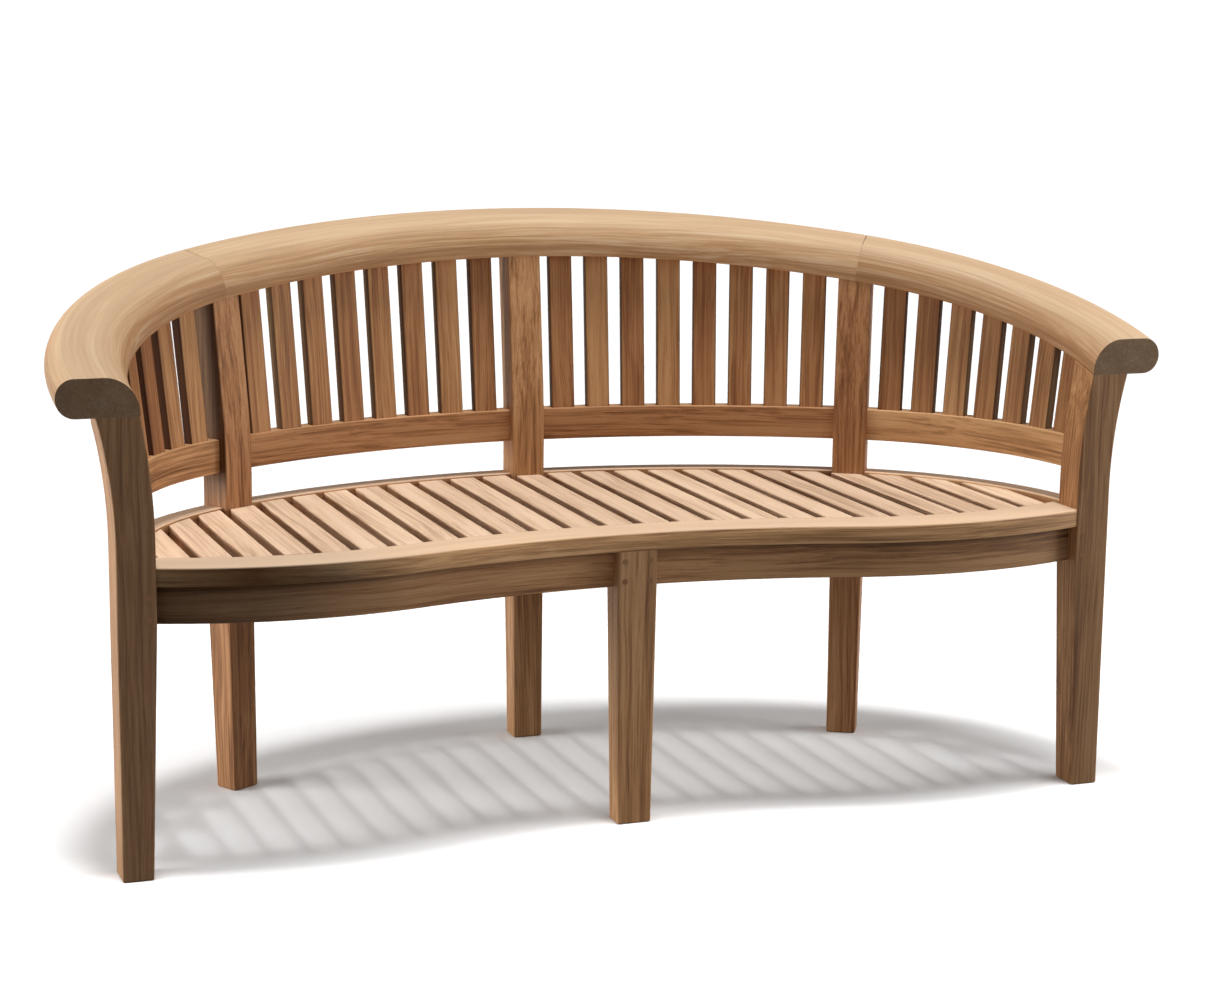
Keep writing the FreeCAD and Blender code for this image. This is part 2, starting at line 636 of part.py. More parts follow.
crest_rooms = group("crest_rooms", crest_mortises + [slat_rooms])
front_low = ("-(%s)" % REACH, "-(%s)" % REACH, "0")
front_high = (REACH, "arm_front_y", REACH)
front_space = block("space_in_front_of_arms", FLOOR, front_low, front_high)
crest_body = new_body("crest_rail_centre_timber", CREST)
revolve(crest_body, "crest_centre", crest_section("crest_radius"), ("0", "-crest_radius"),
        "0", "2 * joint_angle")
keep(cut("crest_rail_centre_mortised", crest_body, crest_rooms), "crest_rail_centre")
for name, side in SIDES:
    crest_body = new_body("crest_rail_%s_timber" % name, CREST)
    overrun = "(crest_end_angle + 8)"
    revolve(crest_body, "crest_" + name, crest_section("crest_arm_radius"),
            ("%d * crest_arm_x" % side, "crest_arm_y"),
            "%d * (joint_angle + %s) / 2" % (side, overrun), "%s - joint_angle" % overrun)
    ended = cut("crest_rail_%s_ended" % name, crest_body, front_space)
    keep(cut("crest_rail_%s_mortised" % name, ended, crest_rooms), "crest_rail_" + name)


# Wavy strips along the front edge of the seat
def wave(body, name, offset, width, bottom, top, ends, sides):
    """Add the parts of a wavy strip: the hollow and the bulges on the given sides."""
    first = "-wave_angle" if -1 in sides else "0"
    last = "wave_angle" if 1 in sides else "0"
    strip(body, name + "_hollow", "hollow_radius + %s" % offset, width, bottom, top,
          ("0", "hollow_y"), first, last)
    for side in sides:
        inner = "bulge_radius - (%s) - %s" % (offset, width)
        centre = ("%d * bulge_offset" % side, "bulge_y")
        strip(body, "%s_bulge_%d" % (name, side + 1), inner, width, bottom, top, centre,
              "180 + %d * wave_angle" % side, "180 - %d * (%s)" % (side, ends))


beyond = []
for name, side in SIDES:
    low = ("%d * half_seat" % side if side > 0 else "-(%s)" % REACH, "-(%s)" % REACH, "0")
    high = (REACH if side > 0 else "-half_seat", REACH, "seat_height + %s" % REACH)
    beyond.append(block("beyond_seat_" + name, FLOOR, low, high))
beyond_seat = group("beyond_seat", beyond)

body = new_body("front_board_blank")
wave(body, "front_board", "0", "front_board_width", "seat_under", "seat_height", "board_end_turn", (-1, 1))
keep(cut("front_board_ended", body, beyond_seat), "front_board")

# Pegs that pin the front apron tenons, through the faces of the leg and the arm posts
pegs = []
peg_holes = []
PEG_TURN = "rotation(vector(1; 0; 0); -90)"
for name, across, face in (("leg_left", "peg_inset - leg_width / 2", "front_y"),
                           ("leg_right", "leg_width / 2 - peg_inset", "front_y"),
                           ("arm_left", "-half_seat - peg_inset", "arm_front_y"),
                           ("arm_right", "half_seat + peg_inset", "arm_front_y")):
    for level in (-1, 1):
        place = "placement(vector(%s; %s; apron_middle - peg_drop + %d * peg_spacing / 2); %s)"
        for label, grow, kind in (("peg", "0", pegs), ("peg_hole", "peg_fit", peg_holes)):
            peg = doc.addObject("Part::Prism", "%s_%s_%d" % (label, name, level + 1))
            peg.setExpression("Polygon", bound("peg_flats"))
            peg.setExpression("Circumradius", bound("peg_radius + %s" % grow))
            peg.setExpression("Height", bound("peg_length + %s" % grow))
            peg.setExpression("Placement", bound(place % (across, face, level, PEG_TURN)))
            kind.append(peg)
keep(group("peg_group", pegs), "tenon_pegs")
all_peg_holes = group("all_peg_holes", peg_holes)

# Front aprons, tenoned between the centre front leg and the arm posts
leg_mortises = []
for name, side in SIDES:
    body = new_body("front_apron_%s_blank" % name)
    wave(body, "front_apron_" + name, "apron_setback", "apron_thickness", "apron_under", "seat_under",
         "apron_end_turn", (side,))
    shouldered = cut("front_apron_%s_shouldered" % name, body, front_posts)
    half = "(apron_height / 2 - tenon_shoulder / 2)"
    solids = []
    for end, near, far, middle in (
            ("leg", "leg_width / 2 - tenon_depth", "leg_width / 2 + tenon_grip",
             "front_y + apron_setback + apron_thickness / 2"),
            ("arm", "half_seat - tenon_grip", "half_seat + tenon_depth", "apron_tenon_y")):
        low_x, high_x = (near, far) if side > 0 else ("-(%s)" % far, "-(%s)" % near)
        low = (low_x, "%s - tenon_thickness / 2" % middle, "apron_middle - %s" % half)
        high = (high_x, "%s + tenon_thickness / 2" % middle, "apron_middle + %s" % half)
        solid, mortise = tenon("front_apron_%s_%s" % (name, end), FLOOR, low, high)
        solids.append(solid)
        if end == "leg":
            leg_mortises.append(mortise)
        else:
            post_mortises["arm_" + name].append(mortise)
    apron = joined("front_apron_%s_tenoned" % name, shouldered, solids)
    keep(cut("front_apron_%s_drilled" % name, apron, all_peg_holes), "front_apron_" + name)

# Bearers that carry the ends of the seat slats
body = new_body("front_bearer_blank")
wave(body, "front_bearer", "bearer_offset", "bearer_width", "bearer_under", "seat_under",
     "board_end_turn", (-1, 1))
front_bearer = keep(cut("front_bearer_ended", body, beyond_seat), "front_bearer")
rear_bearers = []
for name, centre, radius, first, last in (
        ("left_arm", arm_centre(-1), "arm_radius", "-bearer_end_turn", "-post_angle"),
        ("back", BACK_CENTRE, "back_radius", "-post_angle", "post_angle"),
        ("right_arm", arm_centre(1), "arm_radius", "post_angle", "bearer_end_turn")):
    body = new_body("rear_bearer_%s_blank" % name)
    strip(body, "rear_bearer_%s_strip" % name, "%s - rear_bearer_offset - bearer_width" % radius,
          "bearer_width", "bearer_under", "seat_under", centre, first, last)
    bearer = cut("rear_bearer_%s_ended" % name, body, front_bearer)
    rear_bearers.append(keep(bearer, "rear_bearer_" + name))

# Centre stretcher, notched under both bearers and tenoned into leg and post
low = ("-stretcher_width / 2", "front_y + leg_depth - tenon_grip", "seat_under - stretcher_height")
high = ("stretcher_width / 2", "back_y + tenon_grip", "seat_under")
blank = block("centre_stretcher_blank", FLOOR, low, high)
stretcher_tools = group("stretcher_tools", [leg_body, post_blanks["centre"], front_bearer] + rear_bearers)
shouldered = cut("centre_stretcher_notched", blank, stretcher_tools)
tenon_low = "seat_under - stretcher_height + tenon_fit"
tenon_high = "bearer_under - tenon_fit"
solids = []
for end, near, far, holes in (("leg", "front_y + leg_depth - tenon_depth", "front_y + leg_depth + tenon_grip",
                               leg_mortises),
                              ("post", "back_y - tenon_grip", "back_y + tenon_depth",
                               post_mortises["centre"])):
    low = ("-tenon_thickness / 2", near, tenon_low)
    high = ("tenon_thickness / 2", far, tenon_high)
    solid, mortise = tenon("centre_stretcher_" + end, FLOOR, low, high)
    solids.append(solid)
    holes.append(mortise)
keep(joined("centre_stretcher_tenoned", shouldered, solids), "centre_stretcher")

# Posts and leg with their top tenons, mortises and peg holes
for name, blank in post_blanks.items():
    label = name.replace("arm_", "arm_post_") if name.startswith("arm") else "back_post_" + name
    tenoned = joined(label + "_tenoned", blank, [top_tenons[name]])
    mortises = group(label + "_mortises", post_mortises[name] + [all_peg_holes])
    keep(cut(label + "_mortised", tenoned, mortises), label)
leg_holes = group("front_leg_mortises", leg_mortises + [all_peg_holes])
keep(cut("front_leg_mortised", leg_body, leg_holes), "front_leg")

# Seat slats: parallel strips that fill the field between the front board and the rear boards
rear_field = new_body("seat_field_rear")
joint_x = "(back_radius + field_offset) * sin(post_angle)"
joint_y = "back_centre_y + (back_radius + field_offset) * cos(post_angle)"
corners = [("field_arm_x", "-overall_depth"),
           ("field_arm_x", "field_arm_y", "field_radius", -1),
           (joint_x, joint_y, "back_radius + field_offset", -1),
           ("-(%s)" % joint_x, joint_y, "field_radius", -1),
           ("-field_arm_x", "field_arm_y"),
           ("-field_arm_x", "-overall_depth")]
rear_sketch = outline(rear_field, "seat_field_rear_outline", "XY_Plane", corners)
front_field = new_body("seat_field_front")
corners = [("-field_side", "field_end_y", "field_bulge", -1),
           ("-field_front_x", "field_front_y", "field_hollow", 1),
           ("field_front_x", "field_front_y", "field_bulge", -1),
           ("field_side", "field_end_y"),
           ("field_side", "overall_depth"),
           ("-field_side", "overall_depth")]
front_sketch = outline(front_field, "seat_field_front_outline", "XY_Plane", corners)
for body, sketch in ((rear_field, rear_sketch), (front_field, front_sketch)):
    pad = body.newObject("PartDesign::Pad", body.Label + "_pad")
    pad.Profile = sketch
    pad.setExpression("Length", bound("seat_height"))
field = combine("Part::Common", "seat_field", rear_field, front_field)
notches = []
for name, turn, reach, top in BACK_POSTS:
    low = ("-notch_side", "-slat_fit", "0")
    high = ("notch_side", "post_depth", "seat_height")
    notches.append(block("seat_notch_" + name, post_frame(turn), low, high))
notched_field = cut("seat_field_notched", field, group("seat_notches", notches))
# The notch of a turned post is squared behind its inner corner, so no slat keeps a loose wedge there
square_ends = []
for name, side in SIDES:
    near, far = ("notch_x", "notch_x + post_width") if side > 0 else ("-notch_x - post_width", "-notch_x")
    low = (near, "notch_y", "0")
    high = (far, "overall_depth", "seat_height")
    square_ends.append(block("seat_notch_square_" + name, FLOOR, low, high))
slat_field = cut("seat_field_squared", notched_field, group("seat_notch_squares", square_ends))
slats_each_side = int(value("seat_slats_each_side"))
for index in range(-slats_each_side, slats_each_side + 1):
    label = "seat_slat_%02d" % (index + slats_each_side + 1)
    middle = "(%d) * seat_slat_pitch" % index
    low = ("%s - seat_slat_width / 2" % middle, "-overall_depth", "seat_under")
    high = ("%s + seat_slat_width / 2" % middle, "overall_depth", "seat_height")
    plank = block(label + "_plank", FLOOR, low, high)
    keep(combine("Part::Common", label + "_cut", plank, slat_field), label)

# Build, test and write every piece
doc.recompute()
for item in doc.Objects:
    if "Invalid" in item.State or "Error" in item.State:
        raise RuntimeError("failed to build: " + item.Label)
for piece in pieces:
    if piece.Shape.isNull() or not piece.Shape.isValid():
        raise RuntimeError("bad shape: " + piece.Label)
os.makedirs("parts", exist_ok=True)
for piece in pieces:
    piece.Shape.exportStep("parts/%s.step" % piece.Label)
print(len(pieces), "nodes")
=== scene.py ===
import math
import random
from types import SimpleNamespace

import bmesh
import bpy
from bpy.props import FloatProperty, FloatVectorProperty, IntProperty, PointerProperty
from mathutils import Euler, Matrix, Vector


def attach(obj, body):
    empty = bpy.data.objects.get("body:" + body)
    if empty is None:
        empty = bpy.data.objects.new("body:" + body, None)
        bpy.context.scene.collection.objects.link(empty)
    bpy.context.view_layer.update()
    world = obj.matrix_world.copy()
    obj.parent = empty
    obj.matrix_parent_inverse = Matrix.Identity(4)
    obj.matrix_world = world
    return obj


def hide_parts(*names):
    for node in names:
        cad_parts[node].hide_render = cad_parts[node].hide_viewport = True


bl_info = {
    "name": "Banana Bench",
    "version": (1, 0, 0),
    "blender": (4, 5, 0),
    "location": "View3D > Sidebar > Bench",
    "description": "Dresses a curved teak bench: crest rail, posts, slatted back and wavy slatted seat",
    "category": "Object",
}

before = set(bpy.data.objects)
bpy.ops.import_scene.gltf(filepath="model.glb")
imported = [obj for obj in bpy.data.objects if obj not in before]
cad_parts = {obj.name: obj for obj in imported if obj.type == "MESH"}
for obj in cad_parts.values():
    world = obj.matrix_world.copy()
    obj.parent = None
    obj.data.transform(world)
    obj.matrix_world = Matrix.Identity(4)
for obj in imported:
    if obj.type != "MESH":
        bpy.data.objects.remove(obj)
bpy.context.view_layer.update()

BAYS = ("left_arm", "left_back", "right_back", "right_arm")
SIDES = (("left", -1), ("right", 1))

# How finely rounds are cut

ARC_STEPS = 48
CREST_STEPS = 96
CREST_ARM_STEPS = 72
BULGE_STEPS = 40
BEND_STEPS = 10
FLARE_STEPS = 12
ROUND_STEPS = 4
CREST_ROUND_STEPS = 14
ARRIS_STEPS = 3
PEG_SIDES = 28

# What a maker allows for

CREST_SPARE = math.radians(8)  # turn by which the crest rail's arms are too long before they are sawn
POST_LAP = 0.003  # how far rails run into the posts
FOOT_EASE = 0.8  # share of the arris that comes off the rim of a foot
ON_PLANE = 1e-6  # points this near to a saw cut lie on it
WELD = 1e-5  # points this near to each other are one
FLAT = math.radians(0.6)  # faces that meet under this angle are one flat
EDGE = math.radians(25)  # faces that meet over this angle have an edge to soften
CRISP = math.radians(12)  # edges sharper than this look crisp
PEG_CRISP = math.radians(30)

# Fixed seeds

SLAT_SEED = 21
PEG_SEED = 5
SEAT_SEED = 4

# Tone of each timber, from 0 for dark to 1 for pale

CREST_TONES = {"centre": 0.7, "right": 0.5, "left": 0.36}
BAY_TONES = dict(zip(BAYS, (0.6, 0.15, 0.15, 0.95)))
BACK_POST_TONES = {"left": 0.05, "centre": 0.45, "right": 0.0}
ARM_POST_TONES = {"left": 0.4, "right": 0.45}
APRON_TONES = {"left": 0.4, "right": 0.55}
LEG_TONE = 0.55
BOARD_TONE = 0.9

# How far timbers are greyed and darkened, most of it painted shade; over 1 they are darkened a second time,
# in brown

# Greying at the crest rail's left end, partly painted shade, darkest at the very end
CREST_GREY_AND_SHADE = ((0.0, 0.55), (0.02, 0.3), (0.1, 0.1), (0.3, 0.0))  # by distance from the left end
SLATS_GREYED = dict(zip(BAYS, (0.0, 0.05, 0.0, 0.15)))
# Painted shade on the thickness sides of the back slats, by bay
SLAT_SIDES_SHADE = dict(zip(BAYS, (1.9, 1.2, 1.1, 1.3)))
# Painted shade on the left cheeks of the back posts
CHEEKS_SHADE = {"left": 1.15, "centre": 0.3, "right": 0.0}  # left cheeks of the back posts, above the seat
# Painted shade on the fronts and sides of the arm posts
ARM_POSTS_SHADE = {"left": (0.86, 0.5), "right": (0.68, 0.0)}  # front and sides
# Painted shade at the top of the front leg, under the seat
LEG_TOP_SHADE = 0.45  # at the seat
# Painted shadow along the top of the aprons, under the front board
APRON_TOP_SHADE = 0.7  # at the top of the aprons

# Painted shade along the front, by share of half the seat's width

BOARD_SHADE = ((-1.0, 1.2), (-0.82, 1.8), (-0.66, 1.0), (-0.5, 0.2), (-0.35, 0.0), (1.0, 0.35))
APRONS_SHADE = ((-1.0, 1.15), (-0.8, 1.0), (-0.66, 0.7), (-0.5, 0.36), (-0.1, 0.08), (1.0, 0.55))

# Teak by family: pale, middle and dark wood, spread of tones, paling of upper faces (sun-bleached wood,
# partly painted light on the tops) and its colour

TEAKS = {
    "crest": (("crest_pale", "crest_mid", "crest_dark"), 0.4, 0.55, "crest_pale"),
    "seat": (("seat_pale", "seat_mid", "seat_dark"), 0.16, 0.35, "seat_pale"),
    "board": (("frame_pale", "frame_mid", "frame_dark"), 0.4, 0.72, "seat_pale"),
    "slat": (("slat_pale", "slat_mid", "slat_dark"), 0.34, 0.2, "slat_pale"),
    "frame": (("frame_pale", "frame_mid", "frame_dark"), 0.4, 0.3, "frame_pale"),
    "under": (("frame_pale", "frame_mid", "frame_dark"), 0.2, 0.2, "frame_pale"),
    "peg": (("peg_mid", "peg_mid", "frame_dark"), 0.3, 0.0, "peg_mid"),
}

# Grain: stretch along, across and through a board, detail and roughness of each layer

SWAY = ((2.2, 9.0, 9.0), 2.0, 0.5)
FIGURE = ((1.2, 42.0, 42.0), 3.0, 0.55)
STREAK = ((4.0, 230.0, 230.0), 4.0, 0.65)
FIBRE = ((14.0, 900.0, 900.0), 2.0, 0.5)
PORES = ((45.0, 1500.0, 1500.0), 1.0, 0.5)
BLOTCH = ((5.0, 22.0, 22.0), 2.0, 0.5)
BOARD_JUMPS = (37.0, 11.0, 23.0)  # shift of the grain from board to board
SWAY_ACROSS = 0.018
SWAY_THROUGH = 0.012
FIGURE_SHARE = 0.4
STREAK_SHARE = 0.6
BLOTCH_SHARE = 0.4
FIBRE_SHARE = 0.5
RIDGE_SHARE = 0.5
PORE_DARKNESS = 0.38
PORE_DEPTH = 0.4
GRAIN_RELIEF = 0.0008
TONE_HUE = 0.03  # pale boards are a little yellower and less full in colour
TONE_SATURATION = 0.2
END_GRAIN_SHARE = 0.75
ROUGHNESS_DARK = -0.08  # dark grain is this much smoother, and pale wood that much rougher
ROUGHNESS_PALE = 0.1
# Shine of the oiled wood, taken down where painted shade is deepest
OILED_SHEEN = 0.22
SHADED_SHEEN = 0.04

# Ranges over which one look turns into the next

GRAIN_RANGE = (0.33, 0.67)
DARK_TO_MIDDLE = (0.0, 0.55)
MIDDLE_TO_PALE = (0.45, 1.0)
PORE_RANGE = (0.62, 0.74)
WORN_RANGE = (0.3, 0.7)
UPWARD_RANGE = (0.35, 0.97)
# Amounts over which painted shade takes the shine away
SHADED_RANGE = (0.9, 1.3)

# Stage, in metres unless the name says otherwise

FLOOR_REACH = 60.0
OVERHEAD_HEIGHT = 4.0
PANEL_WIDTH = 1.6
PANEL_HEIGHT = 1.2
PANEL_AIM = (0.0, 0.0, 0.5)
LEFT_PANEL = (-2.9, 0.2, 0.8)
RIGHT_PANEL = (2.7, -0.9, 1.0)
SENSOR_MILLIMETRES = 36.0


# Sizes and colours that a user would change

def length(name, default, description):
    """A size in metres."""
    return FloatProperty(name=name, description=description, default=default, min=0.0,
                         unit="LENGTH", subtype="DISTANCE", precision=4)


def angle(name, degrees, description):
    """An angle, written in degrees."""
    return FloatProperty(name=name, description=description, default=math.radians(degrees),
                         unit="ROTATION", subtype="ANGLE")


def linear(channel):
    """Turn one 0 to 255 screen value into a linear colour value."""
    share = channel / 255
    return share / 12.92 if share <= 0.04045 else ((share + 0.055) / 1.055) ** 2.4


def colour(name, red, green, blue, description):
    """A colour, written as it looks on a screen."""
    return FloatVectorProperty(name=name, description=description, size=3, min=0.0, max=1.0,
                               subtype="COLOR", default=(linear(red), linear(green), linear(blue)))


def factor(name, default, description):
    """A share from 0 to 1."""
    return FloatProperty(name=name, description=description, default=default, min=0.0, max=1.0,
                         subtype="FACTOR")


def strength(name, default, description, unit="NONE"):
    """A strength that is never below zero."""
    return FloatProperty(name=name, description=description, default=default, min=0.0, unit=unit)


def number(name, default, description):
    """A number of pieces."""
    return IntProperty(name=name, description=description, default=default, min=1)


class BenchSizes(bpy.types.PropertyGroup):
    """Sizes of the bench's timbers and where they stand."""

    overall_width: length("Overall width", 1.592, "Across the outer faces of the crest rail's arms")
    overall_depth: length("Overall depth", 0.660, "From the front of the seat to the back of the crest rail")
    seat_height: length("Seat height", 0.4155, "Floor to the top of the seat slats")
    back_radius: length("Back radius", 0.940, "Plan radius at the inner faces of the back posts")
    post_angle: angle("Post angle", 30.7, "Plan angle from the middle of the back to a side post")
    back_rake: angle("Back rake", 6.5, "Lean of the back above the bend of its posts")
    bend_height: length("Bend height", 0.516, "Height at which the upright and the leaning line meet")
    bend_radius: length("Bend radius", 0.900, "Radius of the bend in the back posts")
    crest_height: length("Crest height", 0.748, "Underside of the crest rail at the middle of the back")
    crest_tilt: angle("Crest tilt", 14.4, "Fall of the crest rail towards the arms")
    crest_width: length("Crest width", 0.107, "Width of the crest rail's section")
    crest_thickness: length("Crest thickness", 0.0505, "Thickness of the crest rail's section")
    crest_inner_round: length("Crest inner round", 0.044, "Radius of the inner top edge of the crest rail")
    sanding: length("Sanding", 0.0011, "What sanding the rounds takes off the crest rail")
    board_sanding: length("Board sanding", 0.0001, "What sanding takes off the front board's edge")
    post_width: length("Back post width", 0.051, "Width of a back post along the back")
    post_depth: length("Back post depth", 0.048, "Depth of a back post above the seat")
    post_foot_width: length("Back foot width", 0.045, "Width of a back post at the floor")
    post_foot_depth: length("Back foot depth", 0.038, "Depth of a back post at the floor")
    post_foot_lead: length("Back foot lead", 0.006, "How far a back foot stands in front of its post")
    arm_post_width: length("Arm post width", 0.0515, "Width of an arm post at the seat")
    arm_post_top_width: length("Arm post top width", 0.057, "Width of an arm post under the crest rail")
    arm_post_depth: length("Arm post depth", 0.056, "Depth of an arm post above the apron")
    arm_post_foot_width: length("Arm foot width", 0.041, "Width of an arm post at the floor")
    arm_post_foot_depth: length("Arm foot depth", 0.048, "Depth of an arm post at the floor")
    arm_post_proud: length("Arm post proud", 0.0015, "How far an arm post stands in front of the seat's end")
    arm_flare: length("Arm flare", 0.0159, "How far an arm post leans out at its top")
    arm_flare_start: length("Arm flare start", 0.440, "Height at which the flare begins")
    leg_width: length("Front leg width", 0.058, "Width of the centre front leg at the apron")
    leg_foot_width: length("Front foot width", 0.049, "Width of the centre front leg at the floor")
    leg_foot_depth: length("Front foot depth", 0.036, "Depth of the centre front leg at the floor")
    hollow_radius: length("Hollow radius", 1.150, "Radius of the hollow in the seat's front edge")
    bulge_radius: length("Bulge radius", 0.614, "Radius of the two bulges of the seat's front edge")
    bulge_run: length("Bulge run", 0.201, "From a bulge's centre to the end of the seat")
    board_thickness: length("Board thickness", 0.0255, "Thickness of the seat's boards and slats")
    front_board_width: length("Front board width", 0.066, "Width of the wavy front board")
    rear_board_setback: length("Rear board setback", 0.010, "Rear boards behind the posts' inner faces")
    rear_board_width: length("Rear board width", 0.035, "Width of the rear boards")
    rear_board_proud: length("Rear board proud", 0.002, "Rear boards above the seat slats")
    apron_height: length("Apron height", 0.053, "Height of the aprons under the seat")
    apron_thickness: length("Apron thickness", 0.024, "Thickness of the front aprons")
    apron_setback: length("Apron setback", 0.020, "Front aprons behind the edge of the front board")
    rear_apron_setback: length("Rear apron setback", 0.012, "Rear aprons behind the posts' inner faces")
    rear_apron_thickness: length("Rear apron thickness", 0.022, "Thickness of the rear aprons")
    lower_rail_gap: length("Lower rail gap", 0.0515, "Clear height between the seat and the lower rails")
    lower_rail_height: length("Lower rail height", 0.048, "Height of the lower back rails")
    lower_rail_thickness: length("Lower rail thickness", 0.030, "Thickness of the lower back rails")
    lower_rail_setback: length("Lower rail setback", 0.014, "Lower rails behind the posts' inner faces")
    slat_width: length("Back slat width", 0.0365, "Width of a back slat")
    slat_thickness: length("Back slat thickness", 0.0145, "Thickness of a back slat")
    slat_setback: length("Back slat setback", 0.020, "Back slats behind the posts' inner faces")
    slat_housing: length("Back slat housing", 0.008, "How far a back slat goes into its rails")
    back_bay_slats: number("Back bay slats", 8, "Slats in each bay of the back")
    arm_bay_slats: number("Arm bay slats", 7, "Slats in each arm bay")
    peg_radius: length("Peg radius", 0.004, "Radius of the pegs that pin the apron tenons")
    peg_depth: length("Peg depth", 0.030, "How far a peg goes into its post")
    peg_inset: length("Peg inset", 0.0105, "From a post's edge to a peg's middle")
    peg_spacing: length("Peg spacing", 0.028, "Height between the two pegs of a tenon")
    peg_drop: length("Peg drop", 0.0015, "Pegs below the middle of the apron")
    peg_proud: length("Peg proud", 0.0003, "How far a peg's end stands out of its post")
    arris: length("Arris", 0.0022, "Rounding of the timbers' long edges")
    board_arris: length("Board arris", 0.0032, "Rounding of the front board's upper edge")
    # Height of the painted shadow line on the aprons
    soil_line: length("Soil line", 0.012, "Height of the dark line on the aprons under the board")


class TeakFinish(bpy.types.PropertyGroup):
    """Colours of the oiled teak, and the tints of its greying and painted shade."""

    seat_pale: colour("Seat pale", 232, 203, 174, "Pale wood of the seat slats and boards")
    seat_mid: colour("Seat middle", 219, 185, 153, "Middle tone of the seat slats and boards")
    seat_dark: colour("Seat grain", 150, 108, 76, "Dark grain of the seat slats and boards")
    crest_pale: colour("Crest pale", 214, 187, 154, "Pale wood of the crest rail")
    crest_mid: colour("Crest middle", 194, 150, 108, "Middle tone of the crest rail")
    crest_dark: colour("Crest grain", 160, 118, 82, "Dark grain of the crest rail")
    slat_pale: colour("Slat pale", 208, 162, 114, "Pale wood of the back slats")
    slat_mid: colour("Slat middle", 184, 132, 88, "Middle tone of the back slats")
    slat_dark: colour("Slat grain", 128, 82, 52, "Dark grain of the back slats")
    frame_pale: colour("Frame pale", 220, 174, 128, "Pale wood of the posts, rails and aprons")
    frame_mid: colour("Frame middle", 195, 144, 98, "Middle tone of the posts, rails and aprons")
    frame_dark: colour("Frame grain", 120, 79, 48, "Dark grain of the posts, rails and aprons")
    peg_mid: colour("Peg middle", 138, 99, 68, "End grain of the pegs")
    # The grey tint greys timbers and lays on most of the painted shade; the brown tint deepens that painted
    # shade
    greyed: colour("Greyed", 150, 153, 156, "Tint that sun and rain leave on the wood")
    soiled: colour("Soiled", 150, 112, 84, "Brown tint of wood that is stained a second time")
    end_grain: colour("End grain", 75, 61, 46, "Sawn ends of the timbers")
    roughness: factor("Roughness", 0.58, "Roughness of the oiled wood")
    grain_depth: factor("Grain depth", 0.3, "Strength of the grain's relief")


class StageSettings(bpy.types.PropertyGroup):
    """Floor, lamps and camera."""

    floor_grey: factor("Floor grey", 0.2, "Reflection of the pale floor")
    floor_white: factor("Floor white", 0.96, "How white the floor looks to the camera")
    world_strength: strength("Surround", 0.23, "Strength of the soft surround")
    sun_strength: strength("Overhead lamp", 1.55, "Strength of the overhead lamp")
    sun_softness: angle("Overhead softness", 7.0, "Angle that the overhead lamp fills")
    sun_tilt: angle("Overhead tilt", 2.0, "How far the overhead lamp leans towards the front")
    sun_lean: angle("Overhead lean", -2.0, "How far the overhead lamp leans towards the right")
    front_strength: strength("Front overhead lamp", 1.25, "Strength of the tilted overhead lamp")
    front_softness: angle("Front lamp softness", 11.0, "Angle that the second overhead lamp fills")
    front_tilt: angle("Front lamp tilt", 8.5, "How far the second overhead lamp leans towards the front")
    front_lean: angle("Front lamp lean", 4.0, "How far the second overhead lamp leans towards the right")
    left_power: strength("Left lamp", 62.0, "Power of the left panel in watts", "POWER")
    right_power: strength("Right lamp", 38.0, "Power of the right panel in watts", "POWER")
    camera_place: FloatVectorProperty(name="Camera place", description="Where the camera stands", size=3,
                                      subtype="TRANSLATION", unit="LENGTH",
                                      default=(-1.289363, -3.593387, 1.136870))
    camera_yaw: angle("Camera yaw", math.degrees(0.358825), "Turn of the camera to the right")
    camera_pitch: angle("Camera pitch", math.degrees(0.187140), "Downward tilt of the camera")
    camera_roll: angle("Camera roll", math.degrees(0.011975), "Lean of the camera")
    camera_lens: FloatProperty(name="Camera lens", description="Focal length in millimetres", default=78.096,
                               min=1.0, unit="CAMERA")


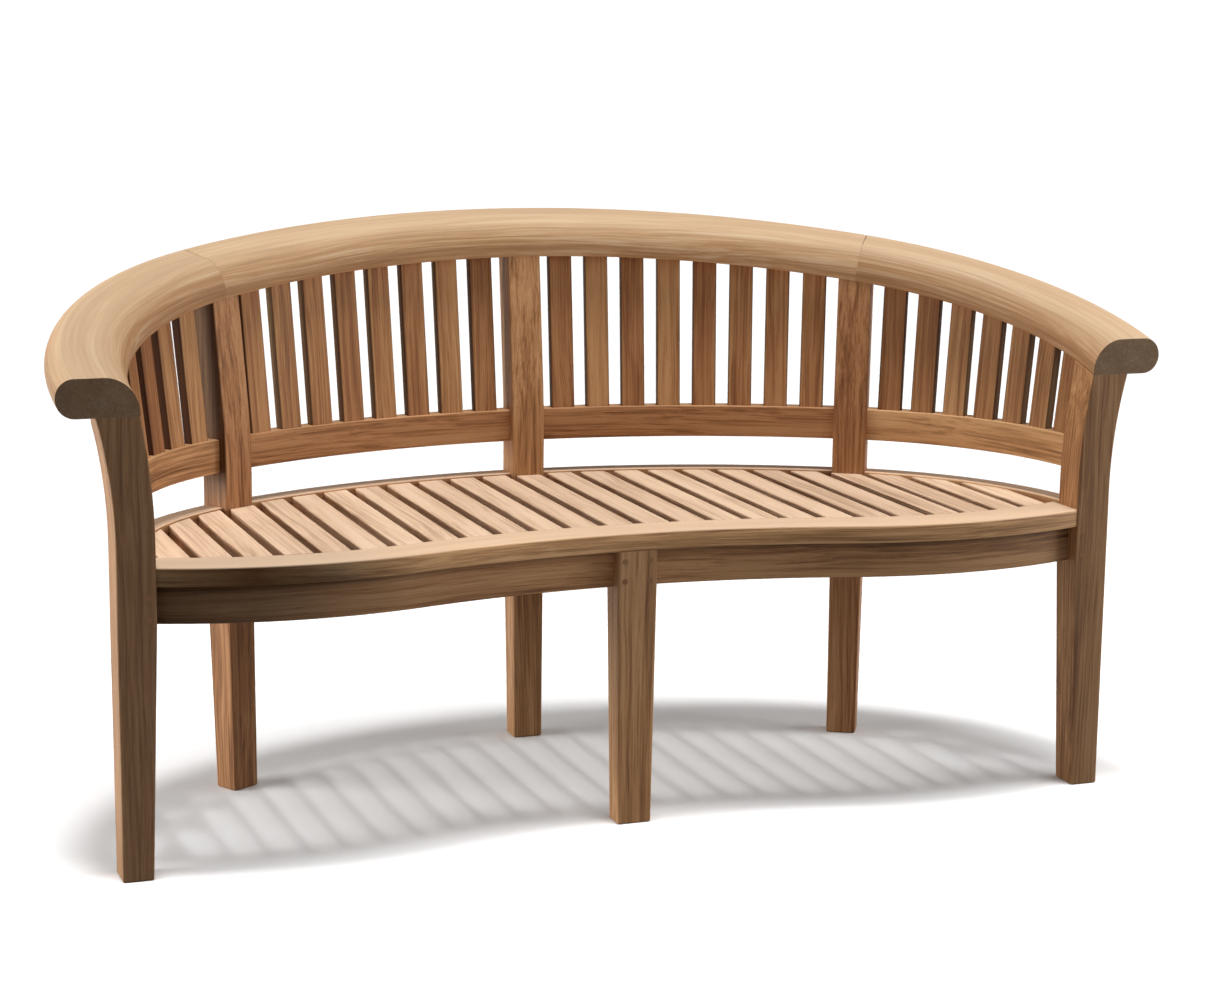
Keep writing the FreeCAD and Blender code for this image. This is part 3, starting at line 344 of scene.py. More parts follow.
def bench_layout(s):
    """Work out the places that follow from the bench's sizes."""
    place = SimpleNamespace()
    lean = math.tan(s.back_rake)
    fall = math.tan(s.crest_tilt)
    place.lean = lean
    place.fall = fall
    place.seat_under = s.seat_height - s.board_thickness
    place.apron_under = place.seat_under - s.apron_height
    place.rail_under = s.seat_height + s.lower_rail_gap
    place.rail_top = place.rail_under + s.lower_rail_height
    place.bulge_y = s.bulge_radius - s.overall_depth / 2
    place.arm_front_y = place.bulge_y - math.sqrt(s.bulge_radius ** 2 - s.bulge_run ** 2) - s.arm_post_proud
    place.arm_back_y = place.arm_front_y + s.arm_post_depth
    nose = s.crest_thickness / 2
    reach = (s.crest_width - nose) * math.cos(s.crest_tilt) - nose * math.sin(s.crest_tilt) + nose
    place.crest_y = s.overall_depth / 2 - reach
    place.back_y = place.crest_y - (s.crest_height - s.bend_height) * lean
    place.back_centre_y = place.back_y - s.back_radius
    place.post_x = s.back_radius * math.sin(s.post_angle)
    place.post_y = place.back_centre_y + s.back_radius * math.cos(s.post_angle)
    rise = s.crest_height - s.bend_height - fall * (place.crest_y - place.post_y)
    side_lean = lean * rise / (1 - lean * fall * math.cos(s.post_angle))
    bend_run = s.bend_radius * math.tan(s.back_rake / 2)
    place.bend_low = s.bend_height - bend_run
    place.bend_high = s.bend_height + bend_run * math.cos(s.back_rake)
    joint_x = place.post_x + side_lean * math.sin(s.post_angle)
    joint_drop = (place.crest_y - place.post_y - side_lean * math.cos(s.post_angle)) / math.cos(s.crest_tilt)
    place.joint_angle = 2 * math.atan(joint_drop / joint_x)
    place.crest_radius = joint_x / math.sin(place.joint_angle)
    arm_reach = s.overall_width / 2 - s.crest_width - joint_x
    place.crest_arm_radius = arm_reach / (1 - math.sin(place.joint_angle))
    shift = place.crest_radius - place.crest_arm_radius
    place.crest_arm_x = shift * math.sin(place.joint_angle)
    place.crest_arm_y = shift * math.cos(place.joint_angle) - place.crest_radius
    end_run = place.crest_arm_y + (place.crest_y - place.arm_front_y) / math.cos(s.crest_tilt)
    place.crest_end_angle = math.pi / 2 + math.asin(end_run / place.crest_arm_radius)
    place.arm_top = s.crest_height - (place.crest_y - place.arm_front_y) * fall
    place.half_seat = place.crest_arm_x + math.sqrt(place.crest_arm_radius ** 2 - end_run ** 2) - s.arm_flare
    place.bulge_offset = place.half_seat - s.bulge_run
    wave_reach = s.hollow_radius + s.bulge_radius
    place.hollow_y = place.bulge_y - math.sqrt(wave_reach ** 2 - place.bulge_offset ** 2)
    place.wave_angle = math.asin(place.bulge_offset / wave_reach)
    place.front_y = place.hollow_y + s.hollow_radius
    run = place.half_seat - place.post_x
    drop = place.post_y - place.arm_back_y
    turn_in = drop * math.cos(s.post_angle) - run * math.sin(s.post_angle)
    place.arm_radius = (run ** 2 + drop ** 2) / 2 / turn_in
    place.arm_centre_x = place.post_x - place.arm_radius * math.sin(s.post_angle)
    place.arm_centre_y = place.post_y - place.arm_radius * math.cos(s.post_angle)
    return place


def crest_underside(s, place, y):
    """Height of the sloping underside of the crest rail above a point of the floor."""
    return s.crest_height + (y - place.crest_y) * place.fall


# Node trees

def socket_of(sockets, key):
    """Find a socket that is in use, by its name or its number."""
    ready = [item for item in sockets if item.enabled]
    if isinstance(key, int):
        return ready[key]
    return next(item for item in ready if item.name == key)


class Sheet:
    """A node tree in the making."""

    def __init__(self, tree):
        self.tree = tree

    def add(self, kind, feeds=None, **options):
        """Add a node, set its options and feed its inputs."""
        node = self.tree.nodes.new(kind)
        for key, option in options.items():
            setattr(node, key, option)
        for key, source in (feeds or {}).items():
            self.feed(node, key, source)
        return node

    def feed(self, node, key, source):
        """Feed a node's input from another node's output, or set it to a plain value."""
        target = socket_of(node.inputs, key)
        if isinstance(source, bpy.types.NodeSocket):
            self.tree.links.new(source, target)
        else:
            target.default_value = source

    def get(self, kind, feeds=None, output=0, **options):
        """Add a node and hand on one of its outputs."""
        return socket_of(self.add(kind, feeds, **options).outputs, output)

    def plus(self, first, second):
        """Add two values."""
        return self.get("ShaderNodeMath", {0: first, 1: second}, operation="ADD")

    def minus(self, first, second):
        """Take the second value from the first."""
        return self.get("ShaderNodeMath", {0: first, 1: second}, operation="SUBTRACT")

    def times(self, first, second):
        """Multiply two values."""
        return self.get("ShaderNodeMath", {0: first, 1: second}, operation="MULTIPLY")

    def larger(self, first, second):
        """Take the larger of two values."""
        return self.get("ShaderNodeMath", {0: first, 1: second}, operation="MAXIMUM")

    def vector(self, x, y, z):
        """Join three values to a vector."""
        return self.get("ShaderNodeCombineXYZ", {0: x, 1: y, 2: z})

    def parts(self, vector):
        """Split a vector into its three values."""
        return self.add("ShaderNodeSeparateXYZ", {0: vector}).outputs

    def moved(self, vector, way):
        """Add two vectors."""
        return self.get("ShaderNodeVectorMath", {0: vector, 1: way}, operation="ADD")

    def stored(self, geometry, name, source, kind="FLOAT", domain="POINT"):
        """Keep a value on the geometry under a name."""
        feeds = {"Geometry": geometry, "Name": name, "Value": source}
        return self.get("GeometryNodeStoreNamedAttribute", feeds, data_type=kind, domain=domain)

    def recalled(self, name, kind):
        """Read a value that was kept on the geometry, in a geometry tree."""
        return self.get("GeometryNodeInputNamedAttribute", {"Name": name}, data_type=kind)

    def painted(self, name, output="Fac"):
        """Read a value that was kept on the geometry, in a material."""
        return self.get("ShaderNodeAttribute", output=output, attribute_name=name)

    def noise(self, spot, stretch, detail, roughness):
        """Noise over stretched coordinates."""
        spot = self.get("ShaderNodeVectorMath", {0: spot, 1: stretch}, operation="MULTIPLY")
        feeds = {"Vector": spot, "Scale": 1.0, "Detail": detail, "Roughness": roughness}
        return self.get("ShaderNodeTexNoise", feeds)

    def spread(self, source, low, high, to_low=0.0, to_high=1.0):
        """Stretch a range of values to another, clamped."""
        feeds = {"Value": source, "From Min": low, "From Max": high, "To Min": to_low, "To Max": to_high}
        return self.get("ShaderNodeMapRange", feeds, clamp=True)

    def blended(self, share, first, second, blend="MIX"):
        """Mix two colours."""
        feeds = {"Factor": share, "A": first, "B": second}
        return self.get("ShaderNodeMix", feeds, data_type="RGBA", blend_type=blend, clamp_factor=True)

    def group(self, name, make, feeds):
        """Place a shared group and hand on its outputs."""
        tree = bpy.data.node_groups.get(name) or make()
        return self.add("ShaderNodeGroup", feeds, node_tree=tree).outputs


def new_tree(name, inputs):
    """Start a Geometry Nodes tree with a geometry input and named inputs."""
    tree = bpy.data.node_groups.new(name, "GeometryNodeTree")
    tree.is_modifier = True
    for label, kind in [("Geometry", "Geometry")] + inputs:
        tree.interface.new_socket(name=label, in_out="INPUT", socket_type="NodeSocket" + kind)
    tree.interface.new_socket(name="Geometry", in_out="OUTPUT", socket_type="NodeSocketGeometry")
    sheet = Sheet(tree)
    return sheet, sheet.add("NodeGroupInput").outputs


def finish_tree(sheet, geometry, material):
    """End a tree in Realize Instances and Set Material."""
    real = sheet.get("GeometryNodeRealizeInstances", {"Geometry": geometry})
    painted = sheet.get("GeometryNodeSetMaterial", {"Geometry": real, "Material": material})
    sheet.add("NodeGroupOutput", {"Geometry": painted})
    return sheet.tree


def rounded_section(sheet, width, height, radius, steps):
    """Section of a timber with rounded edges."""
    section = sheet.get("GeometryNodeCurvePrimitiveQuadrilateral", {"Width": width, "Height": height},
                        mode="RECTANGLE")
    feeds = {"Curve": section, "Count": steps, "Radius": radius, "Limit Radius": True}
    return sheet.get("GeometryNodeFilletCurve", feeds, mode="POLY")


def swept_section(sheet, path, section):
    """Sweep a section along a path and close both ends."""
    return sheet.get("GeometryNodeCurveToMesh", {"Curve": path, "Profile Curve": section, "Fill Caps": True})


def straight_stick(sheet, section, end):
    """Sweep a section along a straight line from the origin to an end."""
    line = sheet.get("GeometryNodeCurvePrimitiveLine", {"Start": (0.0, 0.0, 0.0), "End": end})
    return swept_section(sheet, line, section)


def stood_on_points(sheet, given, stick, grain, seed, pose):
    """Stand a stick on each point, give each its tone and finish the tree."""
    grained = sheet.stored(stick, "grain", grain, "FLOAT_VECTOR")
    feeds = {"Points": given["Geometry"], "Instance": grained, **pose}
    stand = sheet.get("GeometryNodeInstanceOnPoints", feeds)
    chance = sheet.get("FunctionNodeRandomValue", {"Seed": seed}, data_type="FLOAT")
    toned = sheet.stored(stand, "tone", chance, "FLOAT", "INSTANCE")
    return finish_tree(sheet, toned, given["Material"])


ROUNDS = ("Outer Bottom Round", "Inner Bottom Round", "Inner Top Round", "Outer Top Round")


def swept_timber_tree():
    """Tree that sweeps a rounded section along a path and keeps the run of the grain."""
    inputs = [(label, "Float") for label in ("Inset", "Width", "Base", "Height", *ROUNDS, "Tilt", "Tone")]
    inputs += [("Offset", "Vector"), ("Round Steps", "Int"), ("Material", "Material")]
    sheet, given = new_tree("swept_timber", inputs)
    path = sheet.get("GeometryNodeMeshToCurve", {"Mesh": given["Geometry"]})
    upright = sheet.get("GeometryNodeSetCurveNormal", {"Curve": path}, mode="Z_UP")
    rail = sheet.stored(upright, "grain_run", sheet.get("GeometryNodeSplineParameter", output="Length"))

    corner = sheet.add("GeometryNodeIndexSwitch", data_type="FLOAT")
    while len(corner.index_switch_items) < len(ROUNDS):
        corner.index_switch_items.new()
    sheet.feed(corner, "Index", sheet.get("GeometryNodeInputIndex"))
    for slot, label in enumerate(ROUNDS):
        sheet.feed(corner, str(slot), given[label])
    section = rounded_section(sheet, given["Width"], given["Height"], corner.outputs[0], given["Round Steps"])
    across = sheet.plus(given["Inset"], sheet.times(given["Width"], 0.5))
    middle = sheet.plus(given["Base"], sheet.times(given["Height"], 0.5))
    shift = sheet.vector(across, sheet.times(middle, -1.0), 0.0)
    set_over = sheet.get("GeometryNodeTransform", {"Geometry": section, "Translation": shift})
    profile = sheet.stored(set_over, "grain_side", sheet.get("GeometryNodeInputPosition"), "FLOAT_VECTOR")

    timber = swept_section(sheet, rail, profile)
    side = sheet.parts(sheet.recalled("grain_side", "FLOAT_VECTOR"))
    grain = sheet.vector(sheet.recalled("grain_run", "FLOAT"), side[0], side[1])
    timber = sheet.stored(timber, "grain", grain, "FLOAT_VECTOR")
    timber = sheet.stored(timber, "tone", given["Tone"])
    for name in ("grain_run", "grain_side"):
        timber = sheet.get("GeometryNodeRemoveAttribute", {"Geometry": timber, "Name": name})
    tilt = sheet.vector(given["Tilt"], 0.0, 0.0)
    feeds = {"Geometry": timber, "Translation": given["Offset"], "Rotation": tilt}
    return finish_tree(sheet, sheet.get("GeometryNodeTransform", feeds), given["Material"])


def slat_fan_tree():
    """Tree that stands rounded slats on points that carry each slat's turn and reach."""
    inputs = [(label, "Float") for label in ("Width", "Thickness", "Arris", "Grain Length")]
    sheet, given = new_tree("slat_fan", inputs + [("Seed", "Int"), ("Material", "Material")])
    section = rounded_section(sheet, given["Width"], given["Thickness"], given["Arris"], ARRIS_STEPS)
    slat = straight_stick(sheet, section, (0.0, 0.0, 1.0))
    x, y, z = sheet.parts(sheet.get("GeometryNodeInputPosition"))
    grain = sheet.vector(sheet.times(z, given["Grain Length"]), x, y)
    turn = sheet.get("FunctionNodeEulerToRotation", {0: sheet.recalled("turn", "FLOAT_VECTOR")})
    scale = sheet.vector(1.0, 1.0, sheet.recalled("reach", "FLOAT"))
    return stood_on_points(sheet, given, slat, grain, given["Seed"], {"Rotation": turn, "Scale": scale})


def peg_tree():
    """Tree that puts a round peg on each point, running in from the front."""
    sheet, given = new_tree("tenon_pegs", [("Radius", "Float"), ("Depth", "Float"), ("Material", "Material")])
    ring = sheet.get("GeometryNodeCurvePrimitiveCircle", {"Resolution": PEG_SIDES, "Radius": given["Radius"]},
                     mode="RADIUS")
    peg = straight_stick(sheet, ring, sheet.vector(0.0, given["Depth"], 0.0))
    x, y, z = sheet.parts(sheet.get("GeometryNodeInputPosition"))
    return stood_on_points(sheet, given, peg, sheet.vector(y, x, z), PEG_SEED, {})


TREES = {"swept_timber": swept_timber_tree, "slat_fan": slat_fan_tree, "tenon_pegs": peg_tree}


def linked(name, data):
    """Make an object and link it to the scene."""
    item = bpy.data.objects.new(name, data)
    bpy.context.scene.collection.objects.link(item)
    return item


def grown(name, points, edges, tree_name, values, attributes=None, crisp=CRISP):
    """Run a tree over a few points and keep the result as a plain mesh object."""
    seed = bpy.data.meshes.new(name + "_path")
    seed.from_pydata(points, edges, [])
    for label, (kind, rows) in (attributes or {}).items():
        layer = seed.attributes.new(label, kind, "POINT")
        for item, row in zip(layer.data, rows):
            if kind == "FLOAT":
                item.value = row
            else:
                item.vector = row
    piece = linked(name, seed)
    tree = bpy.data.node_groups.get(tree_name) or TREES[tree_name]()
    modifier = piece.modifiers.new(tree_name, "NODES")
    modifier.node_group = tree
    for item in tree.interface.items_tree:
        if item.item_type == "SOCKET" and item.in_out == "INPUT" and item.name in values:
            modifier[item.identifier] = values[item.name]
    depsgraph = bpy.context.evaluated_depsgraph_get()
    mesh = bpy.data.meshes.new_from_object(piece.evaluated_get(depsgraph), preserve_all_data_layers=True,
                                           depsgraph=depsgraph)
    piece.modifiers.clear()
    piece.data = mesh
    bpy.data.meshes.remove(seed)
    mesh.name = name
    if not mesh.polygons:
        raise RuntimeError("nothing was made for " + name)
    reworked(piece, lambda timber: bmesh.ops.recalc_face_normals(timber, faces=timber.faces))
    shaded(piece, crisp)
    return piece


# Timbers

def arc(centre, radius, first, last, count=ARC_STEPS):
    """Points on a plan arc; angles run from +Y towards +X."""
    points = []
    for step in range(count + 1):
        turn = first + (last - first) * step / count
        points.append((centre[0] + radius * math.sin(turn), centre[1] + radius * math.cos(turn), 0.0))
    return points


def chain(points):
    """Edges that join points in order."""
    return [(index, index + 1) for index in range(len(points) - 1)]


def swept(name, points, material, inset, width, base, height, rounds, tone, tilt=0.0, offset=(0.0, 0.0, 0.0),
          steps=ROUND_STEPS):
    """Sweep a rounded timber along a path; its rounds are in the order of ROUNDS."""
    values = {"Inset": inset, "Width": width, "Base": base, "Height": height, "Tilt": tilt, "Tone": tone,
              "Offset": offset, "Round Steps": steps, "Material": material}
    values.update(zip(ROUNDS, rounds))
    return grown(name, points, chain(points), "swept_timber", values)


def reworked(piece, work):
    """Change a piece's mesh through one bmesh step."""
    timber = bmesh.new()
    timber.from_mesh(piece.data)
    work(timber)
    timber.to_mesh(piece.data)
    timber.free()
    piece.data.update()


def shaded(piece, crisp=CRISP):
    """Smooth shading that stays crisp at edges."""
    piece.data.shade_smooth()
    piece.data.set_sharp_from_angle(angle=crisp)


def parted(timber, place, away, clear):
    """Cut a timber in work at a plane and clear what lies beyond it, or keep both parts."""
    everything = timber.verts[:] + timber.edges[:] + timber.faces[:]
    bmesh.ops.bisect_plane(timber, geom=everything, dist=ON_PLANE, plane_co=place, plane_no=away,
                           clear_outer=clear)


def softened(timber, edges, arris):
    """Round edges of a timber in work."""
    bmesh.ops.bevel(timber, geom=edges, offset=arris, segments=ARRIS_STEPS, profile=0.5, affect="EDGES",
                    clamp_overlap=True, material=-1)


def sawn(piece, place, away, arris):
    """Saw a timber off at a plane, close the end, soften its rim and mark its end grain."""

    def work(timber):
        mark = timber.faces.layers.float.get("end_grain") or timber.faces.layers.float.new("end_grain")
        parted(timber, place, away, True)
        rim = [edge for edge in timber.edges if edge.is_boundary]
        closed = bmesh.ops.holes_fill(timber, edges=rim, sides=0)["faces"]
        if not closed:
            raise RuntimeError("the end stayed open on " + piece.name)
        for face in closed:
            face[mark] = 1.0
        bmesh.ops.recalc_face_normals(timber, faces=timber.faces)
        if arris:
            softened(timber, [edge for edge in rim if edge.is_valid], arris)

    reworked(piece, work)
    shaded(piece)


def scored(piece, level):
    """Add a line of points round a timber at a height, so that painted shade can start there."""
    reworked(piece, lambda timber: parted(timber, (0.0, 0.0, level), (0.0, 0.0, 1.0), False))
    shaded(piece)


def corner_ring(low, high, arris):
    """Rounded rectangle between two plan corners, anticlockwise."""
    points = []
    corners = ((high[0] - arris, high[1] - arris, 0.0), (low[0] + arris, high[1] - arris, 90.0),
               (low[0] + arris, low[1] + arris, 180.0), (high[0] - arris, low[1] + arris, 270.0))
    for x, y, start in corners:
        for step in range(ARRIS_STEPS + 1):
            turn = math.radians(start + 90.0 * step / ARRIS_STEPS)
            points.append((x + arris * math.cos(turn), y + arris * math.sin(turn)))
    return points


def stacked(name, rings, tone):
    """Skin rings of points, lowest first, to a closed upright timber."""
    timber = bmesh.new()
    rows = [[timber.verts.new(point) for point in ring] for ring in rings]
    for below, above in zip(rows, rows[1:]):
        for index in range(len(below)):
            after = (index + 1) % len(below)
            timber.faces.new((below[index], below[after], above[after], above[index]))
    timber.faces.new(list(reversed(rows[0])))
    timber.faces.new(rows[-1])
    bmesh.ops.recalc_face_normals(timber, faces=timber.faces)
    mesh = bpy.data.meshes.new(name)
    timber.to_mesh(mesh)
    timber.free()
    mesh.materials.append(teak("frame"))
    piece = linked(name, mesh)
    shaded(piece)
    grain_along(piece, 2, tone)
    return piece


def grain_along(piece, axis, tone):
    """Run the grain of a straight timber along one axis."""
    mesh = piece.data
    spots = [vertex.co.copy() for vertex in mesh.vertices]
    grain = mesh.attributes.new("grain", "FLOAT_VECTOR", "POINT")
    for item, spot in zip(grain.data, spots):
        others = [spot[index] for index in range(3) if index != axis]
        item.vector = (spot[axis], others[0], others[1])
    shade = mesh.attributes.new("tone", "FLOAT", "POINT")
    for item in shade.data:
        item.value = tone


def greyed_by(piece, amounts):
    """Add to how far each point of a timber is greyed and darkened, most of it painted shade, in the order of
    its points.
    """
    mesh = piece.data
    layer = mesh.attributes.get("weathered") or mesh.attributes.new("weathered", "FLOAT", "POINT")
    for item, amount in zip(layer.data, amounts):
        item.value += amount


def greyed_along(piece, axis, stops):
    """Grey and darken a timber further along one axis, most of it painted shade; each stop is a place on the
    axis and an amount.
    """
    amounts = []
    for vertex in piece.data.vertices:
        spot = vertex.co[axis]
        amount = stops[0][1]
        for (near, first), (far, last) in zip(stops, stops[1:]):
            if spot >= near:
                amount = first + (last - first) * min((spot - near) / (far - near), 1.0)
        amounts.append(amount)
    greyed_by(piece, amounts)


def round_to_side(across, half_width, arris):
    """How far round the edge from a timber's face to its side a point lies, from 0 to 1."""
    return min(max((abs(across) - half_width + arris) / arris, 0.0), 1.0)


def eased_copy(name, node, material, arris, axis, tone):
    """Copy a solid, merge its triangles and soften its edges."""
    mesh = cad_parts[node].data.copy()
    mesh.name = name
    mesh.materials.clear()
    mesh.materials.append(material)
    piece = linked(name, mesh)

    def work(timber):
        bmesh.ops.remove_doubles(timber, verts=timber.verts, dist=WELD)
        bmesh.ops.dissolve_limit(timber, angle_limit=FLAT, verts=timber.verts, edges=timber.edges)
        softened(timber, [edge for edge in timber.edges
                          if edge.is_manifold and edge.calc_face_angle(0.0) > EDGE], arris)
        bmesh.ops.recalc_face_normals(timber, faces=timber.faces)

    reworked(piece, work)
    for polygon in mesh.polygons:
        polygon.material_index = 0
    shaded(piece)
    grain_along(piece, axis, tone)
    return piece


def seated(piece, slot, *nodes):
    """Let a piece stand for its solids and move with the bench."""
    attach(piece, "root")
    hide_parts(*nodes)


# Teak

def new_group(name, inputs, outputs):
    """Start a shader group with named inputs and outputs."""
    group = bpy.data.node_groups.new(name, "ShaderNodeTree")
    for label, kind, default in inputs:
        socket = group.interface.new_socket(name=label, in_out="INPUT", socket_type="NodeSocket" + kind)
        if default is not None:
            socket.default_value = default
    for label, kind in outputs:
        group.interface.new_socket(name=label, in_out="OUTPUT", socket_type="NodeSocket" + kind)
    sheet = Sheet(group)
    return sheet, sheet.add("NodeGroupInput").outputs


def teak_grain_group():
    """Streaks, figure and pores along the run of the grain, with a tone for each board."""
    inputs = (("Grain", "Vector", None), ("Tone", "Float", 0.5), ("Pale", "Color", None),
              ("Middle", "Color", None), ("Dark", "Color", None), ("Tone Spread", "Float", 0.25))
    outputs = (("Color", "Color"), ("Height", "Float"), ("Worn", "Float"))
    sheet, given = new_group("teak_grain", inputs, outputs)
    board = sheet.vector(*[sheet.times(given["Tone"], jump) for jump in BOARD_JUMPS])
    spot = sheet.moved(given["Grain"], board)
    sway = sheet.noise(spot, *SWAY)
    drift = sheet.vector(0.0, sheet.spread(sway, 0.0, 1.0, -SWAY_ACROSS, SWAY_ACROSS),
                         sheet.spread(sway, 0.0, 1.0, SWAY_THROUGH, -SWAY_THROUGH))
    figured = sheet.moved(spot, drift)
    figure, streak, fibre, pores, blotch = [sheet.noise(figured, *layer)
                                            for layer in (FIGURE, STREAK, FIBRE, PORES, BLOTCH)]
    weight = sheet.plus(sheet.times(figure, FIGURE_SHARE), sheet.times(streak, STREAK_SHARE))
    cloud = sheet.times(sheet.minus(blotch, 0.5), BLOTCH_SHARE)
    fleck = sheet.times(sheet.minus(fibre, 0.5), FIBRE_SHARE)
    shade = sheet.plus(sheet.plus(sheet.spread(weight, *GRAIN_RANGE), cloud), fleck)
    low = sheet.blended(sheet.spread(shade, *DARK_TO_MIDDLE), given["Dark"], given["Middle"])
    body = sheet.blended(sheet.spread(shade, *MIDDLE_TO_PALE), low, given["Pale"])
    pore = sheet.spread(pores, *PORE_RANGE)
    pored = sheet.blended(sheet.times(pore, PORE_DARKNESS), body, given["Dark"])
    share = sheet.times(sheet.minus(given["Tone"], 0.5), given["Tone Spread"])
    feeds = {"Color": pored, "Value": sheet.plus(1.0, share),
             "Hue": sheet.plus(0.5, sheet.times(share, TONE_HUE)),
             "Saturation": sheet.minus(1.0, sheet.times(share, TONE_SATURATION))}
    toned = sheet.get("ShaderNodeHueSaturation", feeds)
    ridges = sheet.plus(sheet.times(streak, RIDGE_SHARE), sheet.times(fibre, RIDGE_SHARE))
    relief = sheet.minus(ridges, sheet.times(pore, PORE_DEPTH))
    worn = sheet.spread(weight, *WORN_RANGE)
    sheet.add("NodeGroupOutput", {"Color": toned, "Height": relief, "Worn": worn})
    return sheet.tree


def sunned_top_group():
    """Paler upper faces: wood that the sun has bleached, partly painted light on the tops."""
    inputs = (("Color", "Color", None), ("Sunned", "Color", None), ("Amount", "Float", 0.3))
    sheet, given = new_group("sunned_top", inputs, (("Color", "Color"),))
    upward = sheet.parts(sheet.get("ShaderNodeNewGeometry", output="Normal"))[2]
    share = sheet.times(sheet.spread(upward, *UPWARD_RANGE), given["Amount"])
    sheet.add("NodeGroupOutput", {"Color": sheet.blended(share, given["Color"], given["Sunned"])})
    return sheet.tree


def weathering_group():
    """Greying and painted shade: the colour is multiplied by the grey tint, and for an amount over 1 also by
    the brown tint; the shine is taken down where the painted shade is deepest.
    """
    inputs = (("Color", "Color", None), ("Greyed", "Color", None), ("Soiled", "Color", None),
              ("Amount", "Float", 0.0))
    sheet, given = new_group("weathering", inputs, (("Color", "Color"), ("Sheen", "Float")))
    once = sheet.blended(given["Amount"], given["Color"], given["Greyed"], "MULTIPLY")
    twice = sheet.blended(sheet.minus(given["Amount"], 1.0), once, given["Soiled"], "MULTIPLY")
    sheen = sheet.spread(given["Amount"], *SHADED_RANGE, OILED_SHEEN, SHADED_SHEEN)
    sheet.add("NodeGroupOutput", {"Color": twice, "Sheen": sheen})
    return sheet.tree


def opaque(shade):
    """Colour with full alpha."""
    return (shade[0], shade[1], shade[2], 1.0)


def new_material(name):
    """Start an empty material and its node tree."""
    material = bpy.data.materials.new(name)
    material.use_nodes = True
    material.node_tree.nodes.clear()
    return material, Sheet(material.node_tree)


def teak(family):
    """Oiled teak for one family of timbers."""
    name = "oiled_" + family
    if name in bpy.data.materials:
        return bpy.data.materials[name]
    finish = bpy.context.scene.teak_finish
    woods, tone_spread, top_paling, bloom = TEAKS[family]
    material, sheet = new_material(name)
    feeds = {"Tone Spread": tone_spread}
    for label, wood in zip(("Pale", "Middle", "Dark"), woods):
        feeds[label] = opaque(getattr(finish, wood))
    if family == "under":
        feeds["Grain"] = sheet.get("ShaderNodeTexCoord", output="Object")
    else:
        feeds["Grain"] = sheet.painted("grain", "Vector")
        feeds["Tone"] = sheet.painted("tone")
    grain = sheet.group("teak_grain", teak_grain_group, feeds)
    # Greying, and painted shade laid on as a darkening of the colour
    feeds = {"Color": grain["Color"], "Greyed": opaque(finish.greyed), "Soiled": opaque(finish.soiled),
             "Amount": sheet.painted("weathered")}
    greyed = sheet.group("weathering", weathering_group, feeds)
    # paler upper faces: sun-bleached wood, partly painted light on the tops
    feeds = {"Color": greyed["Color"], "Sunned": opaque(getattr(finish, bloom)), "Amount": top_paling}
    top = sheet.group("sunned_top", sunned_top_group, feeds)
    ended = sheet.blended(sheet.times(sheet.painted("end_grain"), END_GRAIN_SHARE), top["Color"],
                          opaque(finish.end_grain))
    rough = sheet.spread(grain["Worn"], 0.0, 1.0, finish.roughness + ROUGHNESS_DARK,
                         finish.roughness + ROUGHNESS_PALE)
    feeds = {"Strength": finish.grain_depth, "Distance": GRAIN_RELIEF, "Height": grain["Height"]}
    bump = sheet.get("ShaderNodeBump", feeds)
    feeds = {"Base Color": ended, "Roughness": rough, "Specular IOR Level": greyed["Sheen"], "Normal": bump}
    sheet.add("ShaderNodeOutputMaterial", {"Surface": sheet.get("ShaderNodeBsdfPrincipled", feeds)})
    return material


# Pieces

def bay_plan(s, place, bay):
    """Side, centre and radius of the posts' inner faces in one bay."""
    side = 1 if bay.startswith("right") else -1
    if bay.endswith("arm"):
        return side, (side * place.arm_centre_x, place.arm_centre_y), place.arm_radius
    return side, (0.0, place.back_centre_y), s.back_radius


def bay_turns(s, place, bay, offset, lap=0.0):
    """Plan angles of a bay's two posts at an offset behind their inner faces, with a lap into the posts."""
    reach = bay_plan(s, place, bay)[2] + offset
    shoulder = math.asin((s.post_width / 2 - lap) / reach)
    if bay.endswith("arm"):
        return s.post_angle + shoulder, math.acos((place.arm_back_y - lap - place.arm_centre_y) / reach)
    return shoulder, s.post_angle - shoulder


def bay_arc(s, place, bay, offset):
    """Path of a rail of the back in one bay, ending just inside the posts."""
    side, centre, radius = bay_plan(s, place, bay)
    near, far = bay_turns(s, place, bay, offset, POST_LAP)
    if side > 0:
        return arc(centre, radius, far, near)
    return arc(centre, radius, -near, -far)


